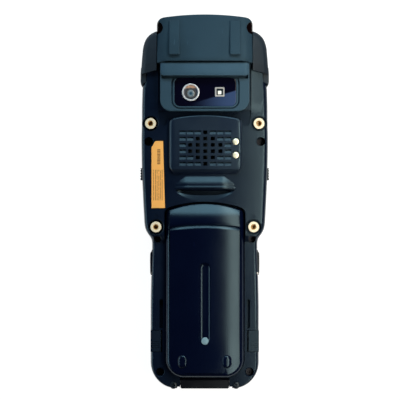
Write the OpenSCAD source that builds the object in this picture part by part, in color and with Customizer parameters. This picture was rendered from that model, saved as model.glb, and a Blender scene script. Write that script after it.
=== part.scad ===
// Portable barcode data terminal, lying on its front bezel with its back up.
// X is across the body, Y runs from the bottom end to the scan head, Z is depth from front to back.

/* [Housing] */
// Half of the height of the body, from the middle to the top of the scan head
half_len = 110.3; // [109.5:0.1:111]
// Half width of the handle, beside the battery
handle_half = 31.6; // [31.4:0.1:31.8]
// Half width of the upper body at its widest
body_half = 37.3; // [37.1:0.1:37.5]
// Corner radius of the bottom end
end_r = 17; // [16:0.5:18]
// Wall thickness of the two housing shells
wall = 2; // [1.8:0.1:2.2]
// Depth of the seam between the front and the back shell
seam_z = 13; // [12.9:0.1:13.1]
// Thickness of the seal in the seam
seal_t = 0.8; // [0.6:0.1:1]
// Depth of the upper body's back face
back_z = 27; // [26.9:0.1:27.1]
// Depth of the two rails beside the battery
rail_z = 22.5; // [22.4:0.1:22.6]

/* [Scan head] */
// Depth of the head cover at its lower edge
cover_z = 37; // [36:0.5:38]
// Depth of the head cover at the top end
cover_end_z = 30.5; // [30:0.5:31.5]
// Half width of the head cover
cover_half = 28.3; // [28:0.1:28.4]
// Thickness of the glossy scan window
scan_window_t = 1.6; // [1.4:0.1:1.8]

/* [Camera] */
// Depth of the camera frame
frame_z = 32; // [31.5:0.1:32.4]
// Width of the camera window
window_w = 37.4; // [36:0.2:38]
// Height of the camera window
window_h = 16.5; // [15:0.5:17]
// Outer radius of the lens ring
lens_ring_r = 5.1; // [4.6:0.1:5.4]
// Outer size of the square flash frame
flash_size = 5.6; // [5:0.1:6]

/* [Speaker grille] */
// Depth of the grille's face
grille_z = 30; // [29.5:0.1:30.5]
// Distance between the grille's columns
grille_pitch_x = 4.45; // [4.3:0.05:4.5]
// Distance between the grille's rows
grille_pitch_y = 3.68; // [3.5:0.01:3.75]

/* [Brass inserts] */
// Distance between the two upper inserts
upper_insert_span = 63.8; // [63.4:0.1:64]
// Distance between the two lower inserts
lower_insert_span = 57.5; // [57:0.1:58]
// Outer radius of an insert
insert_r = 3.3; // [3.1:0.1:3.4]
// Radius of the tapped hole in an insert
insert_bore_r = 1.25; // [1.2:0.05:1.5]

/* [Battery] */
// Half width of the battery pack
battery_half = 23.15; // [23:0.05:23.2]
// Lowest point of the battery pack, along Y
battery_low = -102.8; // [-102.9:0.05:-102.7]
// Depth of the crest of the battery
battery_z = 31; // [30.5:0.1:31.5]
// Gap between the pack and its bay
bay_gap = 0.45; // [0.4:0.05:0.5]

/* [Controls] */
// How far a side key stands out of the body
side_key_proud = 0.7; // [0.5:0.1:0.8]
// Width of a pad key
pad_key_w = 13.4; // [12.5:0.1:14]
// Height of a pad key
pad_key_h = 9.6; // [9:0.1:10.2]
// Distance between pad columns
pad_pitch_x = 17.6; // [17.2:0.1:18]
// Distance between pad rows
pad_pitch_y = 14.2; // [13.8:0.1:14.4]
// Radius of the round navigation key
nav_r = 9.5; // [9:0.1:10]

/* [Hidden] */
PAD_KEYS = ["key_1", "key_2", "key_3", "key_4", "key_5", "key_6",
            "key_7", "key_8", "key_9", "key_clear", "key_0", "key_enter"];

$fn = 48;
eps = 0.01;
plastic = "#20272b";
dark_plastic = "#0b0e12";
rubber = "#14181b";
metal = "#b9bdc2";
gold = "#e3b65c";
brass = "#c9a35b";

// Housing levels
seal_top = seam_z + seal_t;
seal_in = wall - 0.4;
back_wall_z = back_z - wall;
end_arc_r = 174.5;
rim_chamfer = 3;
back_chamfer = 2.4;

// Head
cover_low = 83.2;
cover_high = 108.6;
rib_x = 17.7;
rib_w = 6.5;
rib_z = 1.2;
bumper_half = 37.5;
bumper_low = 68.5;

// Scan engine and the posts it stands on
engine_low_z = 9.2;
engine_post_x = 15.6;
engine_post_y = 95;

// Camera
frame_half = 27;
frame_low = 53.7;
frame_high = 82.2;
window_y = 64.95;
window_z = 30.6;
window_t = 1.2;
lens_x = -8.2;
lens_y = 64.4;
flash_x = 8.8;
flash_y = 64.6;

// Grille: how many columns are open either side of the middle, for each row from the top
open_columns = [0, 1, 2, 2, 1, 0];
grille_x = 0.3;
grille_top_y = 41.5;
grille_low = 19.2;
grille_half = 21.35;
cell_w = 2.3;
cell_h = 2;
dimple_depth = 0.9;
speaker_y = 32.3;
speaker_hole_r = 11;
contact_x = 18.2;
contact_rows = [35.5, 27.6];
contact_pin_r = 1.4;
contact_recess_z = grille_z - 0.9;

// Fasteners: inserts as [x, y], case screws as [x, y, depth of the surface around them, radius of the hole]
upper_insert_y = 46.3;
lower_insert_y = -14.6;
insert_h = 5.6;
inserts = [for (side = [-1, 1]) each [[side * upper_insert_span / 2, upper_insert_y],
                                      [side * lower_insert_span / 2, lower_insert_y]]];
counterbore_r = 4.1;
counterbore_z = 0.5;
screw_places = [for (side = [-1, 1]) each [[side * 33, 35.7, back_z, 2.6],
                                           [side * 27.9, -21.7, back_z, 2.2],
                                           [side * 26.4, -100.3, rail_z, 2.4]]];
screw_seat_z = 16;
screw_low_z = 5;
screw_shank_r = 1.1;
boss_r = 3.5;

// Battery bay
bay_floor_z = 15.3;
pack_low_z = 15.6;
battery_side_top = -4.3;
battery_mid_top = -1;
pack_top_r = 69;
battery_step = -14.7;
battery_corner_r = 9;
groove_half = 3.6;
groove_top = -35.4;
groove_low = -84.1;
foot_x = 13.1;
foot_low = -97.3;
foot_high = -89.6;
terminal_count = 5;
terminal_pitch = 4;
terminal_y = -10;

// Latches
latch_low = -88.2;
latch_high = -75.8;
latch_in = 25.9;
latch_out = 31.9;
latch_low_z = 14.5;
latch_room = 0.85;
flange_top_z = 21;
hook_low = -85;
hook_high = -83;
hook_low_z = 16.2;
hook_high_z = 18.1;
spring_y = -79;
spring_z = 19;

// Narrow slots in the rails, above the latches
slot_in = 24.6;
slot_out = 26.7;
slot_low = -75.2;
slot_high = -57.2;
slot_depth = 3;

// Ports and lids
port_low = -43.3;
port_high = -28.1;
port_lid_in = 30.3;
port_lid_out = 32;
port_low_z = 5;
port_high_z = 20.2;
port_pivot_x = 30.9;
port_pivot_y = -42;
port_y = -35.7;
port_wall_in = 28.1;
jack_z = 11.2;
pin_r = 0.8;
pin_gap = 0.05;
knuckle_r = 1.3;
dock_half = 14.3;
dock_pivot_y = -105.6;
dock_pivot_z = 20.9;
dock_knuckle_r = 1.6;
dock_low = -110;
stud_x = 18.5;
stud_y = -108.35;
stud_r = 1.95;

// Front: board, display and keys
face_z = 1;
face_t = 2;
board_z = 7.2;
board_t = 1.4;
display_low = 12;
display_high = 92;
display_half = 30;
key_z = 0.45;
flange_z = 3.3;
key_low_z = 4.1;
key_gap = 0.3;
pad_top_y = -37;
scan_key_y = 3;
nav_y = -15.5;
power_x = 22.5;
power_y = -3;
power_r = 4.2;
side_key_low = 13;
side_key_high = 20.1;
side_key_z = 19;
switch_in = 28.4;
switch_top_z = 21.2;
switch_low = side_key_low + 0.8;
switch_high = side_key_high - 0.8;

// ---- helpers ----

function arc(cx, cy, r, a0, a1, n) =
    [for (i = [0:n]) let (a = a0 + (a1 - a0) * i / n) [cx + r * cos(a), cy + r * sin(a)]];

// The right half of an outline, from bottom to top, with its mirror image
function mirrored(right, top = []) =
    concat(right, top, [for (i = [len(right) - 1:-1:0]) [-right[i][0], right[i][1]]]);

function rounded(w, h, r) =
    concat(arc(w / 2 - r, h / 2 - r, r, 0, 90, 6), arc(r - w / 2, h / 2 - r, r, 90, 180, 6),
           arc(r - w / 2, r - h / 2, r, 180, 270, 6), arc(w / 2 - r, r - h / 2, r, 270, 360, 6));

function disc(r) = arc(0, 0, r, 0, 352.5, 47);

// Outlines of the three stretches of the housing, each drawn in by d
function handle_outline(d) =
    mirrored(concat(arc(handle_half - end_r, end_r - half_len + 0.3, end_r - d, -90, 0, 10),
                    [[handle_half - d, -45], [30.7 - d, -24], [30.7 - d, -14]]));

function body_outline(d) =
    mirrored([[28.6 - d, -23.8 + d], [30.2 - d, -22.8 + d * 0.8], [34.4 - d, -15.9 + d * 0.6],
              [35.2 - d, -11], [36.9 - d, 20], [body_half - d, 27], [body_half - d, 44],
              [36.6 - d, 50], [36.6 - d, 67], [35.2 - d, 73], [34.5 - d, 86],
              [33.4 - d, 91], [31.4 - d, 95.4], [28.4 - d, 98.2 - d]]);

function nose_outline(d) =
    mirrored([[28.2 - d, 88], [28.2 - d, 104.8], [27.3 - d, 107.2 - d * 0.4]],
             arc(0, half_len - end_arc_r, end_arc_r - d, 81.9, 98.1, 8));

// The pack's outline, drawn in by d
function battery_outline(d) =
    mirrored(concat(arc(battery_half - battery_corner_r, battery_low + battery_corner_r,
                        battery_corner_r - d, -90, 0, 8),
                    arc(battery_half - 2, battery_side_top - 2, 2 - min(d, 1.5), 0, 60, 4)),
             arc(0, battery_mid_top - pack_top_r, pack_top_r - d, 73, 107, 10));

module slab(points, z0, z1) {
    translate([0, 0, z0]) linear_extrude(z1 - z0) polygon(points);
}

// A slab whose edge is chamfered by c on the side of z2
module chamfered(outer, inner, z0, z1, z2) {
    skin = 0.02;
    hull() {
        slab(outer, min(z0, z1), max(z0, z1));
        slab(inner, min(z2, z2 + sign(z1 - z2) * skin), max(z2, z2 + sign(z1 - z2) * skin));
    }
}

module box(x0, x1, y0, y1, z0, z1) {
    translate([x0, y0, z0]) cube([x1 - x0, y1 - y0, z1 - z0]);
}

module post(x, y, r, z0, z1) {
    translate([x, y, z0]) cylinder(r = r, h = z1 - z0);
}

// A cylinder along X
module rod_x(x0, x1, y, z, r) {
    translate([x0, y, z]) rotate([0, 90, 0]) cylinder(r = r, h = x1 - x0);
}

module both_sides() {
    children();
    mirror([1, 0, 0]) children();
}

// A profile in Y and Z, swept from x0 to x1
module sweep_x(points, x0, x1) {
    translate([x0, 0, 0]) rotate([90, 0, 90]) linear_extrude(x1 - x0) polygon(points);
}

// A round wire wound about the X axis
module coil_x(length, radius, wire_r, turns, steps = 14, sides = 6) {
    count = turns * steps;
    function ring(i) = let (t = 360 * i / steps, x = wire_r + (length - 2 * wire_r) * i / count)
        [for (k = [0:sides - 1]) let (b = 360 * k / sides)
            [x + wire_r * sin(b), (radius + wire_r * cos(b)) * cos(t), (radius + wire_r * cos(b)) * sin(t)]];
    points = [for (i = [0:count]) each ring(i)];
    walls = [for (i = [0:count - 1], k = [0:sides - 1]) let (a = i * sides, n = (k + 1) % sides)
        [a + k, a + n, a + sides + n, a + sides + k]];
    first = [for (k = [sides - 1:-1:0]) k];
    last = [for (k = [0:sides - 1]) count * sides + k];
    polyhedron(points, concat([first], walls, [last]), convexity = 6);
}

// ---- housings ----

module front_blocks(d) {
    c = rim_chamfer;
    chamfered(handle_outline(d), handle_outline(c + d), seam_z, c, 0);
    chamfered(body_outline(d), body_outline(c + d), seam_z, c, 0);
    chamfered(nose_outline(d), nose_outline(c + d), seam_z, c, 0);
}

module housing_cavity(z0, z1) {
    slab(handle_outline(wall), z0, z1);
    slab(body_outline(wall), z0, z1);
    slab(nose_outline(wall + scan_window_t), z0, z1);
}

// The space that the scan window takes from both shells
module scan_window_space(gap) {
    difference() {
        slab(nose_outline(-1), 6 - gap, back_z + 1);
        slab(nose_outline(scan_window_t + gap), 6 - 2, back_z + 2);
        box(-40, 40, 80, 99.5 - gap, 0, 40);
    }
}

// The recess of a port lid and the window behind it, on the right side
module port_recess() {
    box(port_lid_in - 0.25, 40, port_low - 0.3, port_high + 0.3, port_low_z - 0.3, port_high_z + 0.3);
    box(port_pivot_x - 1.6, 40, port_low - 0.3, port_pivot_y + 1.6, port_low_z - 0.3, port_high_z + 0.3);
}

module pin_holes() {
    both_sides() post(port_pivot_x, port_pivot_y, pin_r, port_low_z - 1.6, port_high_z + 1.6);
    rod_x(-dock_half - 2, dock_half + 2, dock_pivot_y, dock_pivot_z, pin_r);
}

// Round pillars that the case screws go into
module front_bosses() {
    for (s = screw_places) post(s[0], s[1], 3.1, face_z + face_t, seam_z);
    both_sides() post(engine_post_x, engine_post_y, 1.8, face_z + face_t, engine_low_z);
}

module key_opening(points, x, y) {
    translate([x, y, 0]) slab(points, -1, face_z + face_t + 1);
}

// The columns run from +X to -X, because the pad is read from the front
function pad_x(i) = (1 - i % 3) * pad_pitch_x;
function pad_y(i) = pad_top_y - floor(i / 3) * pad_pitch_y;

module front_housing() color(plastic) difference() {
    union() {
        difference() {
            front_blocks(0);
            // recessed face inside the raised rim
            slab(handle_outline(5), -1, face_z);
            slab(body_outline(5.5), -1, face_z);
            difference() {
                housing_cavity(face_z + face_t, seam_z + 1);
                front_bosses();
            }
        }
        // collars round the hinge pins of the port lids
        both_sides() {
            box(port_pivot_x - 2.6, 31.5, port_low - 0.2, port_pivot_y + 1.8, 2.9, port_low_z - 0.3);
            box(port_wall_in, port_lid_in - 0.25, port_low - 1, port_high + 1, face_z + 1, seam_z);
        }
        // floor of the connector bay
        box(-dock_half - 1.5, dock_half + 1.5, -108, -106, 2, seam_z);
    }
    translate([0, (display_low + display_high) / 2, 0]) {
        slab(rounded(2 * display_half + 0.3, display_high - display_low + 0.3, 3.15), -1, 2.75);
        slab(rounded(54, 72, 1), -1, 5);
    }
    key_opening(rounded(27.6, 12.1, 5.8), 0, scan_key_y);
    key_opening(disc(nav_r + key_gap), 0, nav_y);
    key_opening(disc(power_r + key_gap), power_x, power_y);
    for (i = [0:11])
        key_opening(rounded(pad_key_w + 2 * key_gap, pad_key_h + 2 * key_gap, 2.5), pad_x(i), pad_y(i));
    for (s = screw_places) post(s[0], s[1], screw_shank_r, screw_low_z, seam_z + 1);
    // earpiece and microphone
    translate([0, 95.2, 0]) slab(rounded(13, 1.4, 0.69), -1, 4);
    post(0, -94.5, 0.7, -1, 4);
    both_sides() port_recess();
    scan_window_space(0.1);
    // ports and connector bay
    box(-32, -27, port_y - 4.2, port_y + 4.2, board_z + board_t - 0.2, 12.7);
    rod_x(27, 32, port_y, jack_z, 3);
    box(-11, 11, -112, -104, 4.5, 12.2);
    box(-dock_half - 0.3, dock_half + 0.3, -112, -108.1, 3.2, seam_z + 1);
    pin_holes();
    both_sides() side_stud_space();
}

module side_stud_space() {
    post(stud_x, stud_y, stud_r + 0.03, 9.9, 30);
}

module bay_space(gap, z0) {
    slab(battery_outline(-gap), z0, 40);
}

module back_blocks() {
    c = back_chamfer;
    chamfered(handle_outline(0), handle_outline(1.6), seal_top, rail_z - 1.6, rail_z);
    chamfered(body_outline(0), body_outline(c), seal_top, back_z - c, back_z);
    chamfered(nose_outline(0), nose_outline(1), seal_top, back_z - 1, back_z);
}

// The finger ridge between the grille and the battery
module finger_ridge() {
    half = 18.8;
    crest = back_z + 2.1;
    sweep_x([[15.7, back_z - 1], [15.7, back_z], [10.4, crest - 0.2], [9.9, crest - 0.6], [9.4, crest - 0.5],
             [8.8, crest], [7.7, crest - 0.3], [3.2, back_z], [3.2, back_z - 1]], -half, half);
}

// Pillars round the screws and the inserts
module back_bosses() {
    for (s = screw_places) post(s[0], s[1], boss_r, seal_top, s[2] - 1);
    for (p = inserts) post(p[0], p[1], insert_r + 1.2, back_z - 8, back_z - 1);
}

// Blocks under the back wall that carry the side-key switches
module switch_hangers() {
    both_sides() box(switch_in, 31.5, switch_low, switch_high, switch_top_z, back_wall_z + eps);
}

module latch_pocket() {
    box(latch_in - latch_room, 40, latch_low - 0.3, latch_high + 0.3, latch_low_z - 0.3, 30);
    // room for the flange that keeps the latch in
    box(latch_in - latch_room, latch_in + 1.1, latch_low - 1.1, latch_high + 1.1,
        latch_low_z - 0.3, flange_top_z + 0.3);
    box(battery_half, 27, hook_low - 0.3, hook_high + 0.3, hook_low_z - 0.3, hook_high_z + 0.3);
}

module back_housing() color(plastic) difference() {
    difference() {
        union() {
            back_blocks();
            finger_ridge();
        }
        difference() {
            housing_cavity(seal_top - 1, rail_z - wall);
            slab(battery_outline(-bay_gap - 1.5), seal_top - 2, 30);
            back_bosses();
            both_sides() {
                box(latch_in - 2, 40, latch_low - 2.4, latch_high + 2.4, 0, 30);
                box(port_wall_in, 40, port_low - 1.6, port_high + 1.6, 0, 30);
                box(slot_in - 0.6, 40, slot_low - 0.3, slot_high + 0.2, rail_z - slot_depth - 1.5, 30);
            }
            box(-dock_half - 4, dock_half + 4, -112, -103, 0, 30);
        }
        difference() {
            slab(body_outline(wall), seal_top - 1, back_wall_z);
            slab(battery_outline(-bay_gap - 1.5), seal_top - 2, 30);
            back_bosses();
            box(-40, 40, -60, -18.5, 0, 40);
            switch_hangers();
        }
        slab(nose_outline(wall + scan_window_t), seal_top - 1, back_wall_z);
    }
    bay_space(bay_gap, bay_floor_z);
    // trough between the camera frame and the grille
    rod_x(-34, 34, 53.2, back_z + 7, 8);
    for (p = inserts) {
        post(p[0], p[1], insert_r, back_z - counterbore_z - insert_h, back_z + 1);
        post(p[0], p[1], counterbore_r, back_z - counterbore_z, back_z + 1);
    }
    for (side = [-1, 1]) post(side * 28.6, -8.6, 1.1, back_z - 0.4, back_z + 1);
    for (s = screw_places) {
        post(s[0], s[1], s[3], screw_seat_z, 40);
        post(s[0], s[1], screw_shank_r + 0.25, 10, 30);
    }
    label_shape(0.2, back_z - 0.5, back_z + 1);
    // openings under the camera frame, the scan cover and the grille
    box(-16.2, -0.2, lens_y - 7.7, lens_y + 7.7, 20, 40);
    box(flash_x - 4, flash_x + 4, flash_y - 4, flash_y + 4, 20, 40);
    post(grille_x, speaker_y, speaker_hole_r, 20, 40);
    for (y = contact_rows) post(contact_x, y, contact_pin_r, 20, 40);
    both_sides() {
        port_recess();
        latch_pocket();
        box(slot_in, slot_out, slot_low, slot_high, rail_z - slot_depth, 30);
        side_stud_space();
        box(33, 40, side_key_low - 0.25, side_key_high + 0.25, side_key_z - 3.25, side_key_z + 3.25);
    }
    // slots for the battery terminals
    for (i = [0:terminal_count - 1])
        box(terminal_x(i) - 1.1, terminal_x(i) + 1.1, terminal_y - 3.1, terminal_y + 3.1, 10, 20);
    scan_window_space(0.1);
    // the bottom lid folds back into this pocket
    box(-dock_half - 0.3, dock_half + 0.3, -112, -108.1, 0, 30);
    box(-dock_half - 0.3, dock_half + 0.3, -112, dock_pivot_y + 1.9, dock_pivot_z - 2, 30);
    pin_holes();
}

module housing_seal() color(rubber) difference() {
    union() {
        slab(handle_outline(0.5), seam_z, seal_top);
        slab(body_outline(0.5), seam_z, seal_top);
        slab(nose_outline(scan_window_t + 0.5), seam_z, seal_top);
    }
    slab(handle_outline(seal_in), seam_z - 1, seal_top + 1);
    slab(body_outline(seal_in), seam_z - 1, seal_top + 1);
    slab(nose_outline(wall + scan_window_t), seam_z - 1, seal_top + 1);
    both_sides() {
        port_recess();
        side_stud_space();
    }
    box(-dock_half - 1.5, dock_half + 1.5, -112, -106, 0, 30);
}

// ---- scan head ----

// Outline of the right ear of the bumper
function ear_outline(d) =
    concat([[28.7, 77.2], [36, 75.3], [36.1, bumper_low + 0.4]],
           [[36.6, bumper_low], [37.3 - d, bumper_low + 0.4], [bumper_half - d, 70.5], [bumper_half - d, 76],
            [36.9 - d, 81.5], [36.3 - d, 86], [35.7 - d, 90.9]],
           arc(28.9, 93, 6.9 - d, 0, 78, 6), [[28.7, 99.8 - d]]);

module head_bumper() color(rubber) difference() {
    both_sides() {
        chamfered(ear_outline(0), ear_outline(3.4), 9, 27.5, 31.5);
        slab(ear_outline(0.6), 5, 9);
    }
    // the two shells that it wraps
    hull() slab(body_outline(0), 0, back_z - back_chamfer);
    hull() {
        slab(body_outline(0), back_z - back_chamfer - 0.02, back_z - back_chamfer);
        slab(body_outline(back_chamfer), back_z, back_z + 0.02);
    }
    slab(nose_outline(0), 0, back_z);
    box(-cover_half - 0.3, cover_half + 0.3, 60, 120, 0, 60);
}

cover_outline = mirrored([[cover_half, cover_low], [cover_half, 98], [24.5, 100], [24.5, 106.3]],
                         arc(0, cover_high + 1.4 - end_arc_r, end_arc_r, 82.2, 97.8, 8));

module cover_blank(lift) {
    intersection() {
        slab(cover_outline, back_z, 60);
        sweep_x([[cover_low - 1, back_z - 1], [cover_low - 1, cover_z - 1.2 + lift],
                 [cover_low + 1.2, cover_z + lift], [112, cover_end_z + lift - 0.4],
                 [112, back_z - 1]], -40, 40);
    }
}

module head_cover() color("#32454f") difference() {
    union() {
        cover_blank(0);
        intersection() {
            cover_blank(rib_z);
            both_sides() box(rib_x - rib_w / 2, rib_x + rib_w / 2, 85.6, 107.2, 20, 60);
        }
    }
    // hollow under the cover
    sweep_x([[cover_low + 2, back_z - 1], [cover_low + 2, cover_z - 2.4], [106.5, cover_end_z - 2],
             [106.5, back_z - 1]], -cover_half + 4.5, cover_half - 4.5);
}

module scan_window() color("#2a0508") difference() {
    union() {
        difference() {
            slab(nose_outline(0), 6, back_z);
            slab(nose_outline(scan_window_t), 5, back_z + 1);
            box(-40, 40, 80, 99.6, 0, 40);
        }
        both_sides() intersection() {
            box(24.6, 30, 100.1, 106.2, back_z, back_z + 1);
            slab(nose_outline(0.2), back_z, back_z + 2);
        }
    }
    box(-60, 60, 90, 99.6, 0, 40);
}

module scan_engine() color("#3a3d40") difference() {
    union() {
        box(-14, 14, 84, 102.5, engine_low_z, 22);
        both_sides() box(14 - eps, 17.4, 88, 98, engine_low_z, engine_low_z + 1.8);
    }
    box(-11, 2, 101, 103, 11.5, 20);
    translate([8, 103, 15.8]) rotate([90, 0, 0]) cylinder(r = 4, h = 3);
}

module camera_visor() color("#46616c") {
    sweep_x([[74.7, frame_z + 0.1], [74.7, 34.6], [75.6, 35.2], [82, 33.4], [82.6, 32.6], [82.6, back_z],
             [82.2, back_z], [82.2, frame_z + 0.1]], -26.5, 26.5);
}

// ---- camera ----

function frame_outline(d) =
    mirrored(concat(arc(frame_half - 7, frame_low + 7, 7 - d, -90, 0, 6), [[frame_half - d, frame_high]]));

module camera_frame() color("#3e5862") difference() {
    chamfered(frame_outline(0), frame_outline(1.2), back_z, frame_z - 1.2, frame_z);
    // seat of the window, and the well behind it
    translate([0, window_y, 0]) {
        slab(rounded(window_w + 0.2, window_h + 0.2, 3), window_z - window_t, 40);
        slab(rounded(window_w - 3, window_h - 3, 2), back_z - 1, 40);
    }
}

module camera_window() color("#03030f") translate([0, window_y, 0])
    slab(rounded(window_w, window_h, 2.9), window_z - window_t + 0.05, window_z);

module camera_lens_ring() color(metal) difference() {
    post(lens_x, lens_y, lens_ring_r, window_z, window_z + 0.7);
    post(lens_x, lens_y, lens_ring_r - 0.9, window_z - 1, window_z + 2);
}

module camera_lens() color("#101828") translate([lens_x, lens_y, window_z]) difference() {
    cylinder(r = lens_ring_r - 0.95, h = 0.5);
    translate([0, 0, 0.3]) cylinder(r = 2.1, h = 1);
}

module camera_module() color(dark_plastic) {
    box(lens_x - 5.5, lens_x + 5.5, lens_y - 6, lens_y + 6, 17, 23);
    post(lens_x, lens_y, 4, 23, window_z - window_t);
}

module flash_frame() color("#8d96a0") translate([flash_x, flash_y, 0]) difference() {
    slab(rounded(flash_size, flash_size, 0.5), window_z, window_z + 0.4);
    slab(rounded(flash_size - 1.8, flash_size - 1.8, 0.3), 20, 40);
}

module flash_led() color("white") translate([flash_x, flash_y, 0])
    slab(rounded(flash_size - 1.9, flash_size - 1.9, 0.3), window_z, window_z + 0.3);

// ---- speaker and grip interface ----

function grille_outline(d) =
    mirrored([[grille_half - d - 1.5, grille_low + d], [grille_half - d, grille_low + 1.5 + d],
              [grille_half - d, 46.8 - d], [grille_half - 2 - d, 48.9 - d]],
             arc(0, 51.2 - 90, 90 - d, 78, 102, 6));

module grille_cells() {
    for (row = [0:5], column = [-3:3]) {
        x = column * grille_pitch_x;
        y = grille_top_y - row * grille_pitch_y;
        through = abs(column) <= open_columns[row];
        box(x - cell_w / 2, x + cell_w / 2, y - cell_h / 2, y + cell_h / 2,
            through ? 20 : grille_z - dimple_depth, 40);
    }
}

module speaker_grille() color("#2b3439") translate([grille_x, 0, 0]) difference() {
    union() {
        chamfered(grille_outline(0), grille_outline(1), back_z, grille_z - 1, grille_z);
        sweep_x([[16.4, back_z], [19.6, grille_z - 0.9], [19.6, back_z]],
                -grille_half + 1.5, grille_half - 2.4);
    }
    // hollow over the speaker
    post(0, speaker_y, 12.4, back_z - 1, grille_z - 1.6);
    grille_cells();
    for (y = contact_rows) {
        post(contact_x - grille_x, y, 2.4, contact_recess_z, 40);
        post(contact_x - grille_x, y, contact_pin_r, 20, 40);
    }
}

module speaker() color("#2b2b2b") translate([grille_x, speaker_y, 0]) difference() {
    union() {
        translate([0, 0, 20.6]) cylinder(r = 12.2, h = 4.4);
        translate([0, 0, 18.4]) cylinder(r = 7, h = 2.3);
    }
    translate([0, 0, 24]) cylinder(r1 = 5, r2 = 10.5, h = 1.2);
}

module grip_inserts() color(brass) for (p = inserts) {
    low = back_z - counterbore_z - insert_h;
    top = back_z - counterbore_z + 0.2;
    translate([p[0], p[1], low]) difference() {
        cylinder(r = insert_r, h = top - low);
        translate([0, 0, 0.8]) cylinder(r = insert_bore_r, h = 20);
    }
}

module case_screws() color(metal) for (s = screw_places) translate([s[0], s[1], 0]) difference() {
    union() {
        post(0, 0, screw_shank_r, screw_low_z + 0.5, screw_seat_z);
        translate([0, 0, screw_seat_z]) cylinder(r = 2, h = 1.6);
    }
    translate([0, 0, screw_seat_z + 0.5]) cylinder(r = 0.9, h = 3, $fn = 6);
}

module grip_contacts() color(gold) for (y = contact_rows) translate([contact_x, y, 0]) {
    low = 23.6;
    translate([0, 0, low]) cylinder(r = contact_pin_r, h = contact_recess_z - low);
    translate([0, 0, contact_recess_z]) cylinder(r = 1.77, h = 0.6);
}

module label_shape(d, z0, z1) {
    slab([[-31.4 - d, -3.5 - d], [-23.4 + d, -3.5 - d], [-24.5 + d, 36 + d],
          [-29.1 - d / 2, 36 + d], [-31.4 - d, 32.2]], z0, z1);
}

module label_plate() color("#fab45a") label_shape(0, back_z - 0.5, back_z - 0.2);

// ---- front: display, board and keys ----

module display_window() color("#10161c") translate([0, (display_low + display_high) / 2, 0])
    slab(rounded(2 * display_half, display_high - display_low, 3), face_z + 0.2, 2.7);

module display_panel() color("#2f4657") {
    box(-27.9, 27.9, display_low + 2, display_high - 2, 3.3, 5.8);
    box(-26.7, 26.7, display_low + 4.6, display_high - 4.6, 2.9, 3.3);
}

module main_board() color("#1d5a38") {
    difference() {
        box(-28, 28, -101, 82, board_z, board_z + board_t);
        for (s = screw_places) post(s[0], s[1], boss_r, 0, 20);
    }
    // shield cans, processor and card slot
    box(-22, 4, 18, 42, board_z + board_t, 11.4);
    box(8, 24, 20, 38, board_z + board_t, 10.6);
    box(-20, -2, -2, 12, board_z + board_t, 10.2);
    box(4, 22, -8, 10, board_z + board_t, 10.2);
    box(-12, 12, -70, -50, board_z + board_t, 11);
    box(-20, 20, 50, 54, board_z + board_t, 11.2);
    // strip that carries the scan engine and the battery terminals
    box(-16, 16, terminal_y - 4, terminal_y + 4, board_z + board_t, 12.4);
}

module keypad_membrane() color("#1b1f22") {
    difference() {
        box(-27.5, 27.5, -94, 9.5, 5.2, 5.7);
        for (s = screw_places) post(s[0], s[1], boss_r, 0, 20);
    }
    for (p = key_places) post(p[0], p[1], 1.6, 5.7, 6.2);
}

key_places = concat([[0, scan_key_y], [0, nav_y], [power_x, power_y]],
                    [for (i = [0:11]) [pad_x(i), pad_y(i)]]);

dome_z = 6.35;

module key_domes() color(metal) for (p = key_places)
    translate([p[0], p[1], dome_z]) cylinder(r1 = 1.5, r2 = 3.4, h = board_z - dome_z);

// A key cap with its flange behind the face
module key(points, flange, x, y, top_z = key_z) {
    translate([x, y, 0]) {
        slab(points, top_z, flange_z + eps);
        slab(flange, flange_z, key_low_z);
        translate([0, 0, key_low_z]) cylinder(r = 1.3, h = 0.5);
    }
}

module scan_key() color("#d9701d") key(rounded(27, 11.5, 5.5), rounded(29, 13.5, 6), 0, scan_key_y, 0.2);

module nav_key() color("#2a3034") difference() {
    key(disc(nav_r), disc(nav_r + 1), 0, nav_y, 0.2);
    translate([0, nav_y, -1]) difference() {
        cylinder(r = 4.6, h = 1.7);
        cylinder(r = 4, h = 1.7);
    }
}

module power_key() color("#8f1f1c") key(disc(power_r), disc(power_r + 0.8), power_x, power_y);

module pad_key(i) color("#31373b")
    key(rounded(pad_key_w, pad_key_h, 2.2), rounded(pad_key_w + 1.6, pad_key_h + 1.6, 2.4),
        pad_x(i), pad_y(i));

// ---- ends and sides ----

module dock_connector() color("#2c2f33") difference() {
    box(-10.5, 10.5, -105.8, -98, board_z + board_t, 12);
    difference() {
        box(-9.3, 9.3, -107, -101, 9.2, 11.4);
        box(-8.5, 8.5, -107, -100, 10, 10.7);
    }
}

module usb_socket() color(metal) difference() {
    box(-29.2, -23.5, port_y - 3.8, port_y + 3.8, board_z + board_t, 12.4);
    difference() {
        box(-30, -24.4, port_y - 3.4, port_y + 3.4, 9.1, 12);
        box(-30, -24, port_y - 2.6, port_y + 2.6, 10.3, 11);
    }
}

module headset_jack() color("#26292c") difference() {
    union() {
        box(14.5, 28, port_y - 3.2, port_y + 3.2, board_z + board_t, 13.2);
        rod_x(28, 29.5, port_y, jack_z, 2.6);
    }
    rod_x(15.5, 31, port_y, jack_z, 1.77);
}

module lid_pins() color(metal) {
    both_sides() post(port_pivot_x, port_pivot_y, pin_r, port_low_z - 1.5, port_high_z + 1.5);
    rod_x(-dock_half - 1.9, dock_half + 1.9, dock_pivot_y, dock_pivot_z, pin_r);
}

module end_studs() color(rubber) both_sides() {
    translate([stud_x, stud_y, 10]) cylinder(r = stud_r, h = rail_z - 10);
    translate([stud_x, stud_y, rail_z]) cylinder(r1 = stud_r, r2 = stud_r - 0.5, h = 0.6);
}

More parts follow.
